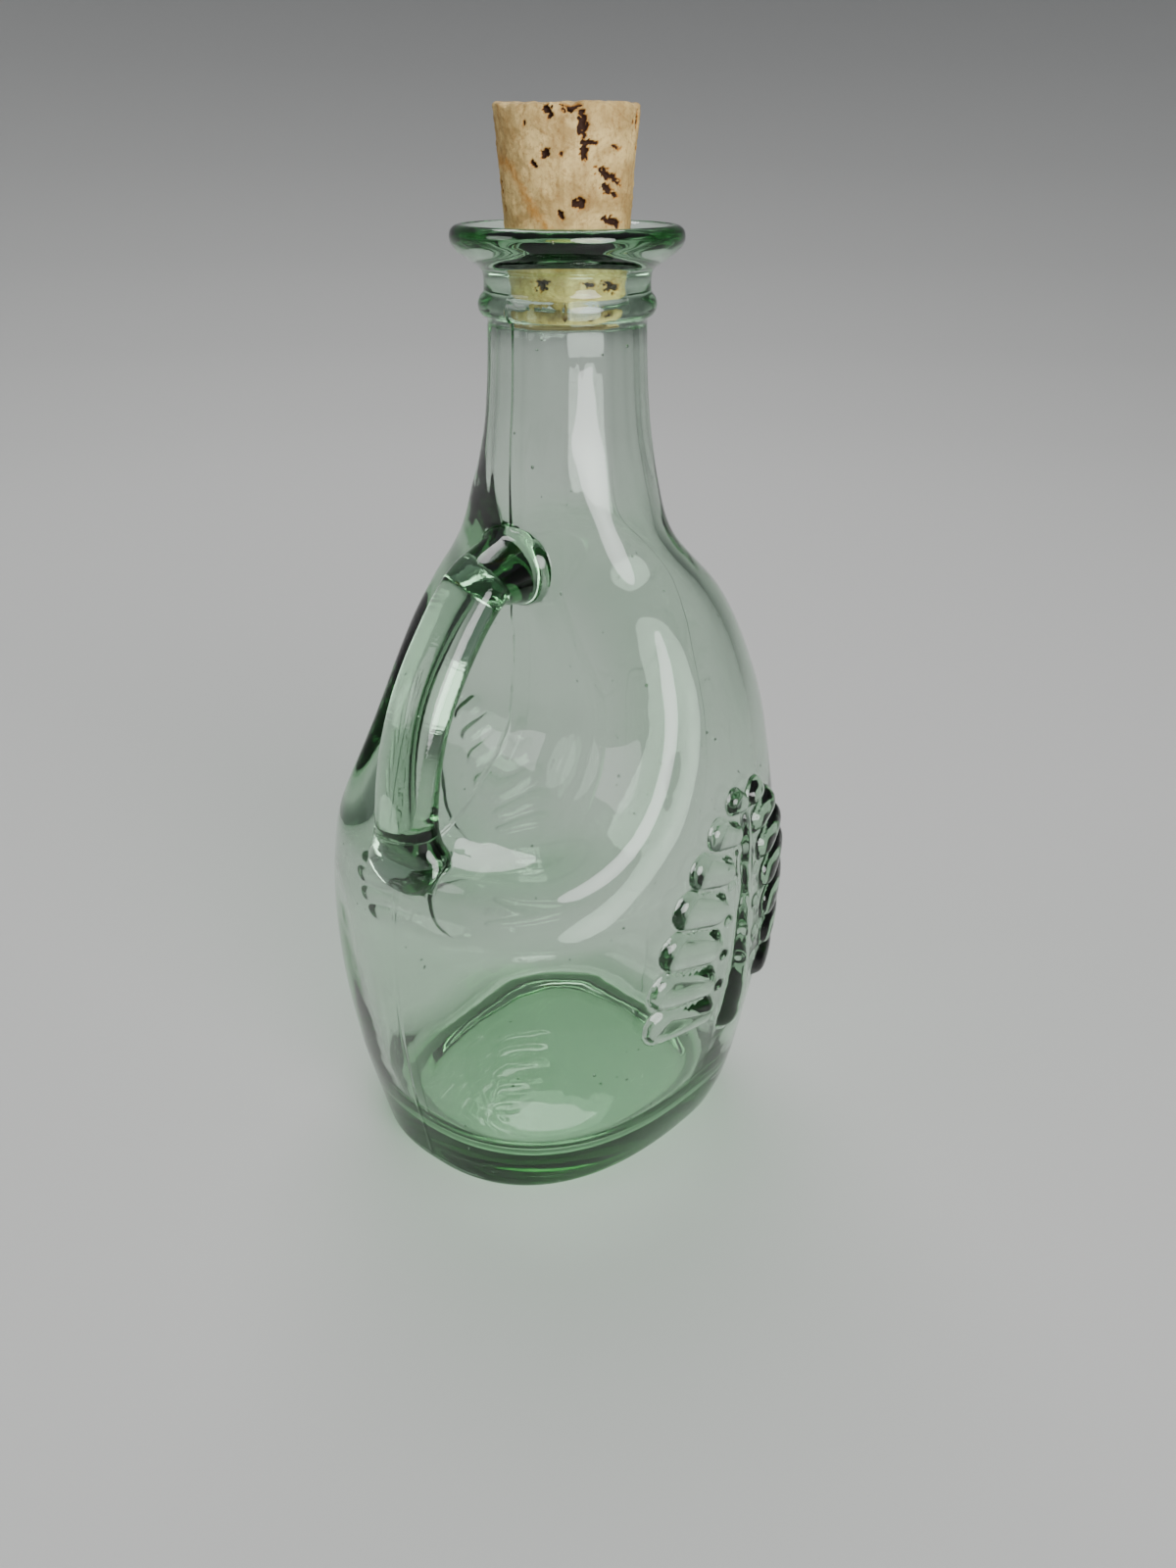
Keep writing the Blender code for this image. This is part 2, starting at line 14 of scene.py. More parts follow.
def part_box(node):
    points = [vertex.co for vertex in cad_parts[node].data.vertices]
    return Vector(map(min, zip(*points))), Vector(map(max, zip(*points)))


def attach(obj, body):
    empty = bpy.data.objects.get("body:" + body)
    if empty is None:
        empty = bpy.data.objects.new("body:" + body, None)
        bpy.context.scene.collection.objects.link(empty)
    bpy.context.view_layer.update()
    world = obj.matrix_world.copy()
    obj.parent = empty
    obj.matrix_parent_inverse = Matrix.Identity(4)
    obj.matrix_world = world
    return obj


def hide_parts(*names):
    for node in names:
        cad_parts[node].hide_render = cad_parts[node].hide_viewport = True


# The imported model. The neck stands on the cork's own axis, and every ring is built round it.
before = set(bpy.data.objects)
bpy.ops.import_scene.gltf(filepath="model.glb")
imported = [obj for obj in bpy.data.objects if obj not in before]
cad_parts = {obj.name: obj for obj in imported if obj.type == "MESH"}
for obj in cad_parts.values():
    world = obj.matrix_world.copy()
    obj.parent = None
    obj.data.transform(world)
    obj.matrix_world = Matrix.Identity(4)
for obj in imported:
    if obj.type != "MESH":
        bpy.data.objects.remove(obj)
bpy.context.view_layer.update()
cork_low, cork_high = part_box("cork_stopper")
neck_x = (cork_low[0] + cork_high[0]) / 2.0


# Camera. It stands where the photographer stood: above the handle's side of the jar, looking down
# across the handle and the near leaf relief.
CAMERA_PLACE = Vector((-0.17091, -0.15604, 0.18128))
CAMERA_RIGHT = Vector((0.651212, -0.758890, 0.002946))
CAMERA_UP = Vector((0.325844, 0.283112, 0.902039))
CAMERA_AHEAD = Vector((0.685382, 0.586458, -0.431646))
LENS = 30.375
SENSOR = 36.0
NEAREST_SEEN = 0.01


def new_object(name, data):
    """A new object in the scene."""
    made = bpy.data.objects.new(name, data)
    bpy.context.scene.collection.objects.link(made)
    return made


camera_data = bpy.data.cameras.new("camera")
camera_data.lens = LENS
camera_data.sensor_width = SENSOR
camera_data.clip_start = NEAREST_SEEN
camera = new_object("camera", camera_data)
camera_turn = Matrix((CAMERA_RIGHT, CAMERA_UP, -CAMERA_AHEAD)).transposed()
camera.matrix_world = Matrix.Translation(CAMERA_PLACE) @ camera_turn.to_4x4()
bpy.context.scene.camera = camera


# Jug, first its belly: an egg that is drawn out toward the handle, with a finger recess scooped out
# of it. Blown in a two-part mould, with an even wall that is thicker inside the recess's rim, where
# the glass gathers.
EGG_HEIGHT = 0.134
EGG_TOP_RADIUS = 0.0150
# Widest reach from the neck's axis: to the handle, to the front and to each side.
EGG_REACHES = np.array((0.0472, 0.0357, 0.0394))
# Share of the egg's height, then the shares of the three reaches there.
EGG_SHARES = np.array((
    (0.00, 0.80, 0.58, 0.63),
    (0.06, 0.85, 0.73, 0.75),
    (0.16, 0.94, 0.82, 0.87),
    (0.30, 1.00, 0.95, 0.99),
    (0.45, 0.98, 1.00, 1.00),
    (0.60, 0.79, 0.82, 0.94),
    (0.71, 0.58, 0.70, 0.81),
    (0.81, 0.38, 0.53, 0.56),
    (0.90, 0.18, 0.05, 0.21),
    (1.00, 0.00, 0.00, 0.00)))
# Squareness of the oval low down and at the top, and the shares of the height it changes between.
SQUARENESS = 2.43
ROUND = 2.0
ROUNDING_SHARES = (0.64, 0.93)
RECESS_WALL_OUT = 0.0150
RECESS_SWEEP_RADIUS = 0.0270
RECESS_SWEEP_HEIGHT = 0.0975
RECESS_FLAT_HEIGHT = 0.080
RECESS_CROWN_POWER = 2.4
RECESS_EDGE_ROUND = 0.0048
RECESS_EDGE_FADE = 0.96
RECESS_TOP = (0.112, 0.132)
RIM_FILL = 0.0085
WALL = 0.0030
NECK_WALL = 0.0023
WALL_THINS = (0.118, 0.134)
SLOPE_STEP = 0.0004
SOLVE_STEPS = 26
SOLVE_REACH = 1.02


def mix(start, end, share):
    """Value at a share of the way from start to end."""
    return start + (end - start) * share


def ease(share):
    """Smooth rise from 0 to 1."""
    share = np.clip(share, 0.0, 1.0)
    return share * share * (3.0 - 2.0 * share)


def along_table(places, values, at):
    """Values at places between a table's rows, on a smooth curve through the rows."""
    slopes = np.empty_like(values)
    slopes[1:-1] = (values[2:] - values[:-2]) / (places[2:] - places[:-2])
    slopes[0] = (values[1] - values[0]) / (places[1] - places[0])
    slopes[-1] = (values[-1] - values[-2]) / (places[-1] - places[-2])
    row = np.clip(np.searchsorted(places, at, side="right") - 1, 0, len(places) - 2)
    step = places[row + 1] - places[row]
    share = np.clip((at - places[row]) / step, 0.0, 1.0)
    bend = (slopes[row] * share * (1.0 - share) ** 2
            - slopes[row + 1] * share * share * (1.0 - share))
    return mix(values[row], values[row + 1], ease(share)) + step * bend


def egg_radius(turn, height):
    """Radius of the egg before the finger recess is taken out of it."""
    share = np.clip(height / EGG_HEIGHT, 0.0, 1.0)
    to_handle, to_front, to_side = (
        mix(EGG_TOP_RADIUS, belly, along_table(EGG_SHARES[:, 0], EGG_SHARES[:, column], share))
        for column, belly in enumerate(EGG_REACHES, start=1))
    start, end = ROUNDING_SHARES
    power = mix(SQUARENESS, ROUND, ease((share - start) / (end - start)))
    along, across = np.cos(turn), np.sin(turn)
    reach = np.where(along < 0.0, to_handle, to_front)
    total = (np.abs(along) / reach) ** power + (np.abs(across) / to_side) ** power
    return total ** (-1.0 / power)


def recess_distance(along, across, height):
    """Distance into the finger recess, negative in the glass behind and below it."""
    share = np.maximum(height - RECESS_FLAT_HEIGHT, 0.0) / (EGG_HEIGHT - RECESS_FLAT_HEIGHT)
    crown = share ** RECESS_CROWN_POWER / EGG_TOP_RADIUS
    wall = -RECESS_WALL_OUT + across * across * crown / 2.0
    drop = RECESS_SWEEP_HEIGHT - height
    inward = np.maximum(along - (wall - RECESS_SWEEP_RADIUS), 0.0)
    swept = RECESS_SWEEP_RADIUS - np.hypot(inward, np.maximum(drop, 0.0))
    return np.where(drop <= 0.0, wall - along, swept)


def skin_radius(turn, height, depth=0.0):
    """Radius at which the glass is the given depth below its outer face."""
    turn, height = np.broadcast_arrays(turn, height)
    egg = egg_radius(turn, height)
    rise = egg_radius(turn, height + SLOPE_STEP) - egg_radius(turn, height - SLOPE_STEP)
    steepness = np.hypot(1.0, rise / (2.0 * SLOPE_STEP))
    low, high = np.zeros_like(egg), egg * SOLVE_REACH
    start, end = RECESS_TOP
    fade = RECESS_EDGE_FADE * ease((height - start) / (end - start))
    edge_round = (RECESS_EDGE_ROUND + RIM_FILL * depth / WALL) * (1.0 - fade)
    for _ in range(SOLVE_STEPS):
        middle = (low + high) / 2.0
        from_egg = (middle - egg) / steepness
        from_recess = recess_distance(middle * np.cos(turn), middle * np.sin(turn), height)
        overlap = np.maximum(edge_round - np.abs(from_egg - from_recess), 0.0)
        outside = np.maximum(from_egg, from_recess) + overlap ** 2 / (4.0 * edge_round)
        low = np.where(outside < -depth, middle, low)
        high = np.where(outside < -depth, high, middle)
    return (low + high) / 2.0


def waver(turn, height, waves):
    """Slow unevenness of blown glass: a sum of long waves round and up the jug."""
    return sum(depth * np.sin(rounds * turn + climb * height + shift)
               for depth, rounds, climb, shift in waves)


# Leaf relief, pressed on both broad sides: a club-shaped stem with thin ribs, seven plump leaflets
# to each hand and small beads between them. It is part of the same glass, raised from the skin.
LEAF_TURN = math.radians(83.5)
LEAF_RADIUS = 0.0394
LEAFLET_PROUD = 0.0019
LEAFLET_SHOULDER = 2.3
LEAFLET_STEEPNESS = 0.56
FAR_LEAFLET_STEEPNESS = 1.5
FAR_LEAF_SHARE = 0.42
# Outer end: distance from the stem, height, half width; then the same for the inner end.
LEAFLETS = (
    (0.0252, 0.0388, 0.0040, 0.0082, 0.0351, 0.0029),
    (0.0246, 0.0464, 0.0038, 0.0086, 0.0420, 0.0032),
    (0.0226, 0.0540, 0.0039, 0.0074, 0.0490, 0.0034),
    (0.0197, 0.0614, 0.0038, 0.0062, 0.0562, 0.0032),
    (0.0160, 0.0676, 0.0034, 0.0044, 0.0632, 0.0028),
    (0.0112, 0.0730, 0.0030, 0.0022, 0.0697, 0.0024),
    (0.0056, 0.0776, 0.0025, 0.0004, 0.0752, 0.0020))
# Stem: height, half width and how far it stands proud.
STEM = np.array((
    (0.0262, 0.0010, 0.0002),
    (0.0280, 0.0036, 0.0016),
    (0.0320, 0.0044, 0.0018),
    (0.0380, 0.0042, 0.0017),
    (0.0450, 0.0030, 0.0015),
    (0.0540, 0.0021, 0.0013),
    (0.0640, 0.0017, 0.0011),
    (0.0720, 0.0013, 0.0010),
    (0.0745, 0.0006, 0.0001)))
STEM_LEAST = 0.0004
RIB_HEIGHTS = (0.0330, 0.0730)
RIB_SPREADS = (-0.0034, -0.0013, 0.0013, 0.0034)
RIB_HALF_WIDTH = 0.00045
RIB_PROUD = 0.0004
RIB_FADE = 6.0
# Beads: distance from the stem and height.
BEADS = ((0.0062, 0.0392), (0.0056, 0.0458), (0.0048, 0.0529), (0.0040, 0.0600), (0.0026, 0.0664),
         (0.0010, 0.0288))
BEAD_RADIUS = 0.0012
BEAD_PROUD = 0.0006


def drop_fullness(spread, height, drop):
    """Height share of one plump leaflet: a tapered capsule, 1 along its middle and 0 outside."""
    outer, outer_height, outer_half, inner, inner_height, inner_half = drop
    reach = math.hypot(outer - inner, outer_height - inner_height)
    way = ((outer - inner) / reach, (outer_height - inner_height) / reach)
    from_inner = (spread - inner) * way[0] + (height - inner_height) * way[1]
    share = np.clip((from_inner - inner_half) / (reach - inner_half - outer_half), 0.0, 1.0)
    middle = mix(inner_half, reach - outer_half, share)
    off = np.hypot(spread - inner - way[0] * middle, height - inner_height - way[1] * middle)
    return np.maximum(1.0 - (off / mix(inner_half, outer_half, share)) ** LEAFLET_SHOULDER, 0.0)


def relief_height(turn, height):
    """How far the leaf stands proud of the skin: crisp on the near side, soft on the far side."""
    spread = (np.abs(turn) - LEAF_TURN) * LEAF_RADIUS
    off_stem = np.abs(spread)
    half_width = along_table(STEM[:, 0], STEM[:, 1], height)
    stem_proud = along_table(STEM[:, 0], STEM[:, 2], height)
    on_stem = (height > STEM[0, 0]) & (height < STEM[-1, 0])
    fullness = 1.0 - (off_stem / np.maximum(half_width, STEM_LEAST)) ** LEAFLET_SHOULDER
    proud = np.where(on_stem, stem_proud * np.maximum(fullness, 0.0), 0.0)
    rib_low, rib_high = RIB_HEIGHTS
    climb = (height - rib_low) / (rib_high - rib_low)
    fade = ease(climb * RIB_FADE) * ease((1.0 - climb) * RIB_FADE)
    for rib in RIB_SPREADS:
        off = (spread - rib * climb) / RIB_HALF_WIDTH
        proud = np.maximum(proud, RIB_PROUD * fade * np.exp(-off * off))
    near = turn < 0.0
    steepness = np.where(near, LEAFLET_STEEPNESS, FAR_LEAFLET_STEEPNESS)
    for leaflet in LEAFLETS:
        fullness = drop_fullness(off_stem, height, leaflet)
        proud = np.maximum(proud, LEAFLET_PROUD * fullness ** steepness)
    for bead_spread, bead_height in BEADS:
        off = np.hypot(off_stem - bead_spread, height - bead_height) / BEAD_RADIUS
        proud = np.maximum(proud, BEAD_PROUD * np.maximum(1.0 - off * off, 0.0))
    return np.where(near, proud, proud * FAR_LEAF_SHARE)


# Mould seam: the thin ridge that the mould's two halves leave in the handle's plane, at the front
# and at the back. It stands proudest in the finger recess, where it wanders, and runs up the neck.
SEAM_PROUD = 0.00036
OPEN_SEAM_SHARE = 0.40
SEAM_HALF_WIDTH = 0.00020
SEAM_WANDER = 0.00030
SEAM_WANDER_TOP = 0.118
# Waves that the wander is made of: share, radians per metre of height, and shift.
SEAM_WAVES = ((1.0, 420.0, 0.0), (0.5, 1130.0, 1.0))


def seam_height(turn, height, radius):
    """How far the seam stands proud of the skin."""
    across = np.sin(turn) * radius
    in_recess = (np.cos(turn) < 0.0) & (height > RECESS_SWEEP_HEIGHT - RECESS_SWEEP_RADIUS)
    wander = SEAM_WANDER * sum(share * np.sin(height * climb + shift)
                               for share, climb, shift in SEAM_WAVES)
    wander = np.where(in_recess & (height < SEAM_WANDER_TOP), wander, 0.0)
    off = (across - wander) / SEAM_HALF_WIDTH
    proud = np.where(in_recess, SEAM_PROUD, SEAM_PROUD * OPEN_SEAM_SHARE)
    return proud * np.exp(-off * off)


# Base, neck and lip. The skin is one stack of rings: under the pushed-up base, up the outside, over
# the half-round neck ring and the flared lip, down the bore and across the thick floor. The rings
# are closest, and have the most points, at the near leaf.
HEEL_ROUND = 0.0022
CONTACT_WIDTH = 0.0040
PUSH_UP = 0.0030
FLOOR_THICKNESS = 0.0078
FLOOR_FILLET = 0.0070
FLOOR_CROWN = 0.0012
NECK_TOP = 0.1561
NECK_TOP_RADIUS = 0.0136
NECK_RING_TOP = 0.1599
NECK_RING_RADIUS = 0.0151
COLLAR_RADIUS = 0.0141
# The neck's foot flows into the shoulder: the wall's radius is averaged over nearby heights.
FLOW_REACH = 0.0060
FLOW_SPAN = 0.0130
FLOW_WEIGHTS = ((-1.0, 1.0), (-0.5, 2.0), (0.0, 2.0), (0.5, 2.0), (1.0, 1.0))
SEAM_FADE = 0.004
# Waves: depth, waves round the jug, radians per metre of height, and shift.
OUTER_WAVES = ((0.00006, 3, 55.0, 0.4), (0.00005, 5, -38.0, 2.1), (0.00003, 8, 90.0, 4.0))
INNER_WAVES = ((0.00020, 2, 42.0, 1.0), (0.00015, 4, -61.0, 3.3), (0.00011, 6, 75.0, 5.1),
               (0.00005, 11, 20.0, 0.2))
NECK_WAVES = ((0.00014, 7, 6.0, 1.2), (0.00008, 13, -9.0, 2.6), (0.00004, 23, 5.0, 0.4))
CORK_BOTTOM = cork_low[2]
CORK_TOP = cork_high[2]
CORK_RADII = (0.0094, 0.0118)
CORK_CLEARANCE = 0.00012
THROAT_END = 0.1605
BORE_TOP = 0.1535
# Lip, as radius and height: collar, funnel under the rim, rounded rim and the bowl into the mouth.
LIP_PROFILE = np.array((
    (0.01408, 0.16020), (0.01402, 0.16130), (0.01406, 0.16240), (0.01425, 0.16330),
    (0.01490, 0.16405), (0.01600, 0.16478), (0.01730, 0.16562), (0.01850, 0.16655),
    (0.01925, 0.16752), (0.01950, 0.16850), (0.01938, 0.16942), (0.01885, 0.17012),
    (0.01800, 0.17048), (0.01710, 0.17036), (0.01640, 0.16988), (0.01570, 0.16920),
    (0.01500, 0.16850), (0.01430, 0.16795), (0.01360, 0.16755), (0.01280, 0.16720),
    (0.01200, 0.16692), (0.01130, 0.16665), (0.01080, 0.16630), (0.01052, 0.16580)))
MOUTH_ROUND = 0.0006
# Columns from the front, at 0 degrees, to the handle, at 180: start of a stretch, and its steps.
COARSE_STOPS = ((0.0, 6), (3.0, 40), (88.0, 28), (136.0, 20), (177.0, 6))
FINE_STOPS = ((0.0, 6), (3.0, 17), (44.0, 124), (123.0, 7), (136.0, 20), (177.0, 6))
FAR_FINE_STOPS = ((0.0, 6), (3.0, 17), (44.0, 84), (123.0, 7), (136.0, 20), (177.0, 6))
# Bands of the outside: lowest ring, highest ring and the step between them.
FOOT_BAND = (HEEL_ROUND, 0.0200, 0.0014)
LEAF_BAND = (0.0205, 0.0820, 0.00048)
UPPER_BAND = (0.0828, NECK_TOP, 0.00115)
UNDERSIDE_ROWS, HEEL_ROWS, NECK_RING_ROWS, LIP_ROWS, THROAT_ROWS = 12, 7, 15, 50, 6
BORE_ROWS, HOLLOW_ROWS, FILLET_ROWS, FLOOR_ROWS = 12, 58, 10, 9
UNDERSIDE_HUB, FLOOR_HUB, NECK_RING_ENDS = 0.06, 0.05, (0.03, 0.97)


def column_turns(near_stops, far_stops):
    """Angles of the rings' points: closer at the mould seam and at the near leaf."""
    halves = []
    for stops in (near_stops, far_stops):
        half = []
        for (start, steps), (end, _) in zip(stops, stops[1:] + ((180.0, 0),)):
            half += [mix(start, end, step / steps) for step in range(steps)]
        halves.append(np.radians(np.array(half + [180.0])))
    return np.concatenate((-halves[0][::-1][1:-1], halves[1]))


def rings(turns, heights, radii):
    """Points of a stack of rings; heights and radii may change along a ring."""
    turns, heights, radii = np.broadcast_arrays(turns, heights, radii)
    return np.stack((radii * np.cos(turns), radii * np.sin(turns), heights), axis=-1)


def raise_skin(points, proud):
    """Move a stack's points out along the skin's own normal."""
    sideways = np.roll(points, -1, axis=1) - np.roll(points, 1, axis=1)
    upward = np.gradient(points, axis=0)
    normal = np.cross(sideways, upward)
    normal /= np.linalg.norm(normal, axis=-1, keepdims=True)
    return points + normal * proud[..., None]


def neck_radius(share):
    """Radius of the neck at a share of its height: it tapers quickly, then less."""
    return mix(EGG_TOP_RADIUS, NECK_TOP_RADIUS, share * (2.0 - share))


def wall_radius(turn, height, depth):
    """Radius of the egg, or of the neck above it, the given depth below the outer face."""
    share = np.maximum(height - EGG_HEIGHT, 0.0) / (NECK_TOP - EGG_HEIGHT)
    egg = skin_radius(turn, np.minimum(height, EGG_HEIGHT), depth)
    return np.where(height > EGG_HEIGHT, neck_radius(share) - depth, egg)


def flowing_radius(turn, height, depth=0.0):
    """The wall's radius with the neck's foot flowing into the shoulder."""
    reach = FLOW_REACH * (1.0 - ease(np.abs(height - EGG_HEIGHT) / FLOW_SPAN))
    total = sum(weight * wall_radius(turn, height + side * reach, depth)
                for side, weight in FLOW_WEIGHTS)
    return total / sum(weight for _, weight in FLOW_WEIGHTS)


def outer_skin(turns, low, high, step):
    """A band of the outside with the leaf, the seam and the slow waves on it."""
    heights = np.linspace(low, high, int(round((high - low) / step)) + 1)[:, None]
    radii = flowing_radius(turns, heights)
    proud = relief_height(turns, heights) + seam_height(turns, heights, radii)
    return raise_skin(rings(turns, heights, radii), proud + waver(turns, heights, OUTER_WAVES))


def underside(turns):
    """Pushed-up underside, contact ring and rounded heel."""
    inner = egg_radius(turns, np.zeros_like(turns)) - HEEL_ROUND - CONTACT_WIDTH
    shares = np.linspace(UNDERSIDE_HUB, 1.0, UNDERSIDE_ROWS)[:, None]
    bowl = rings(turns, PUSH_UP * np.sqrt(1.0 - shares * shares), inner * shares)
    quarter = np.linspace(0.0, 1.0, HEEL_ROWS)[:-1, None] * math.pi / 2.0
    heights = HEEL_ROUND * (1.0 - np.cos(quarter))
    heel = rings(turns, heights, egg_radius(turns, heights) - HEEL_ROUND * (1.0 - np.sin(quarter)))
    return np.concatenate((bowl, heel))


def cork_radius(height):
    """Radius of the tapered cork, which the throat fits."""
    return mix(CORK_RADII[0], CORK_RADII[1], (height - CORK_BOTTOM) / (CORK_TOP - CORK_BOTTOM))


def neck_and_lip(turns):
    """Half-round ring, collar, lip and the throat that the cork fits."""
    share = np.linspace(*NECK_RING_ENDS, NECK_RING_ROWS)
    swell = np.sqrt(np.sin(share * math.pi))
    ring_radii = mix(mix(NECK_TOP_RADIUS, COLLAR_RADIUS, share), NECK_RING_RADIUS, swell)
    steps = np.linalg.norm(np.diff(LIP_PROFILE, axis=0), axis=-1)
    run = np.concatenate(([0.0], np.cumsum(steps)))
    at = np.linspace(0.0, run[-1], LIP_ROWS)
    throat = np.linspace(LIP_PROFILE[-1, 1] - MOUTH_ROUND, THROAT_END, THROAT_ROWS)
    radii = np.concatenate((ring_radii, along_table(run, LIP_PROFILE[:, 0], at),
                            cork_radius(throat) + CORK_CLEARANCE))[:, None]
    heights = np.concatenate((mix(NECK_TOP, NECK_RING_TOP, share),
                              along_table(run, LIP_PROFILE[:, 1], at), throat))[:, None]
    on_neck = ease((NECK_RING_TOP - heights) / SEAM_FADE)
    proud = (seam_height(turns, heights, radii) * on_neck
             + waver(turns, heights, OUTER_WAVES) * on_neck)
    return raise_skin(rings(turns, heights, radii), proud)


def inner_radius(turns, heights):
    """Radius of the inside, which waves more than the outside, as no mould touched it."""
    in_neck = ease((heights - WALL_THINS[0]) / (WALL_THINS[1] - WALL_THINS[0]))
    return (flowing_radius(turns, heights, mix(WALL, NECK_WALL, in_neck))
            + waver(turns, heights, INNER_WAVES) * (1.0 - in_neck)
            + waver(turns, heights, NECK_WAVES) * in_neck)


def inside(turns):
    """Bore, hollow of the egg, fillet and the domed floor."""
    share = np.linspace(0.0, 1.0, BORE_ROWS)[1:-1, None]
    heights = mix(THROAT_END, EGG_HEIGHT, share)
    start = cork_radius(THROAT_END) + CORK_CLEARANCE
    widening = ease((THROAT_END - heights) / (THROAT_END - BORE_TOP))
    radii = mix(start, np.maximum(inner_radius(turns, heights), start), widening)
    bore = rings(turns, heights, radii)
    fillet_top = FLOOR_THICKNESS + FLOOR_FILLET
    heights = np.linspace(EGG_HEIGHT, fillet_top, HOLLOW_ROWS)[:, None]
    hollow = rings(turns, heights, inner_radius(turns, heights))
    quarter = np.linspace(0.0, 1.0, FILLET_ROWS)[1:, None] * math.pi / 2.0
    heights = fillet_top - FLOOR_FILLET * np.sin(quarter)
    cut_back = FLOOR_FILLET * (1.0 - np.cos(quarter))
    fillet = rings(turns, heights, skin_radius(turns, heights, WALL)
                   + waver(turns, fillet_top, INNER_WAVES) * (1.0 - np.sin(quarter)) - cut_back)
    share = np.linspace(1.0, FLOOR_HUB, FLOOR_ROWS)[1:, None]
    edge = np.linalg.norm(fillet[-1, :, :2], axis=-1)
    floor = rings(turns, FLOOR_THICKNESS + FLOOR_CROWN * (1.0 - share * share), edge * share)
    return np.concatenate((bore, hollow, fillet, floor))


def stack_mesh(name, stacks):
    """Closed mesh over stacks of rings, with a zip of triangles where the point counts differ."""
    points, faces, last = [], [], None
    count = 0
    bottom, top = stacks[0][0].mean(axis=0), stacks[-1][-1].mean(axis=0)
    for stack in stacks:
        row_count, columns = stack.shape[:2]
        numbers = count + np.arange(row_count * columns).reshape(row_count, columns)
        points.append(stack.reshape(-1, 3))
        count += row_count * columns
        following = np.roll(numbers, -1, axis=1)
        faces += np.stack((numbers[:-1], following[:-1], following[1:], numbers[1:]),
                          axis=-1).reshape(-1, 4).tolist()
        if last is not None:
            faces += zip_rings(last, (numbers[0], stack[0]))
        last = (numbers[-1], stack[-1])
    points += [bottom[None], top[None]]
    first, columns = stacks[0].shape[1], last[0]
    faces += [[count, (step + 1) % first, step] for step in range(first)]
    faces += [[count + 1, columns[step], columns[(step + 1) % len(columns)]]
              for step in range(len(columns))]
    mesh = bpy.data.meshes.new(name)
    mesh.from_pydata(np.concatenate(points).tolist(), [], faces)
    mesh.shade_smooth()
    return mesh


def zip_rings(lower, upper):
    """Triangles between two rings of different point counts, paired by their angles."""
    sides = []
    for numbers, ring in (lower, upper):
        turns = np.arctan2(ring[:, 1], ring[:, 0])
        order = np.argsort(turns)
        sides.append((numbers[order].tolist() + [int(numbers[order[0]])],
                      turns[order].tolist() + [turns[order[0]] + 2.0 * math.pi]))
    (low, low_turns), (high, high_turns) = sides
    faces, a, b = [], 0, 0
    while a < len(low) - 1 or b < len(high) - 1:
        if b == len(high) - 1 or (a < len(low) - 1 and low_turns[a + 1] <= high_turns[b + 1]):
            faces.append([low[a], low[a + 1], high[b]])
            a += 1
        else:
            faces.append([low[a], high[b + 1], high[b]])
            b += 1
    return faces


coarse = column_turns(COARSE_STOPS, COARSE_STOPS)
fine = column_turns(FINE_STOPS, FAR_FINE_STOPS)
skin = stack_mesh("jug_skin", [
    np.concatenate((underside(coarse), outer_skin(coarse, *FOOT_BAND))),
    outer_skin(fine, *LEAF_BAND),
    np.concatenate((outer_skin(coarse, *UPPER_BAND), neck_and_lip(coarse), inside(coarse)))])


# Handle: a flattened solid bar of glass, moulded in one with the belly. It leaves the recess's
# upright wall, turns down at a tight corner and bows out to a tongue on the belly.
HANDLE_SQUARENESS = 2.15
HANDLE_STEPS = 116
HANDLE_SIDES = 48
# The swept circle only carries points, which the tree then sets to the section's own size.
CARRIER_RADIUS = 0.001
# Upper limb and bow: distance out, height, thickness and width.
HANDLE_BOW = (
    (0.0131, 0.1159, 0.0146, 0.0172),
    (0.0147, 0.1159, 0.0144, 0.0170),
    (0.0155, 0.1158, 0.0133, 0.0160),
    (0.0166, 0.1157, 0.0122, 0.0150),
    (0.0184, 0.1155, 0.0113, 0.0143),
    (0.0206, 0.1152, 0.0102, 0.0136),
    (0.0226, 0.1147, 0.0093, 0.0131),
    (0.0244, 0.1137, 0.0088, 0.0128),
    (0.0260, 0.1122, 0.0086, 0.0127),
    (0.0294, 0.1085, 0.0084, 0.0126),
    (0.0338, 0.1027, 0.0083, 0.0126),
    (0.0374, 0.0967, 0.0083, 0.0126),
    (0.0399, 0.0906, 0.0083, 0.0127),
    (0.0415, 0.0845, 0.0084, 0.0128),
    (0.0423, 0.0790, 0.0085, 0.0130))
# Foot and tongue: distance out of the outer and inner face, height and width.
HANDLE_FOOT = (
    (0.0467, 0.0381, 0.0755, 0.0136),
    (0.0467, 0.0379, 0.0735, 0.0146),
    (0.0467, 0.0373, 0.0719, 0.0164),
    (0.0466, 0.0372, 0.0707, 0.0174),
    (0.0466, 0.0395, 0.0696, 0.0174),
    (0.0465, 0.0423, 0.0683, 0.0166),
    (0.0463, 0.0432, 0.0665, 0.0146),
    (0.0461, 0.0436, 0.0652, 0.0112),
    (0.0458, 0.0439, 0.0643, 0.0074),
    (0.0455, 0.0443, 0.0637, 0.0030))


def add_node(tree, kind, inputs=None, **settings):
    """A node with its settings; each input takes a plain value or another node's output."""
    made = tree.nodes.new(kind)
    for name, value in settings.items():
        setattr(made, name, value)
    for key, value in (inputs or {}).items():
        if isinstance(value, bpy.types.NodeSocket):
            tree.links.new(value, made.inputs[key])
        else:
            made.inputs[key].default_value = value
    return made


def calculate(tree, operation, *values):
    """Result of one sum on plain values or outputs."""
    return add_node(tree, "ShaderNodeMath", dict(enumerate(values)), operation=operation).outputs[0]


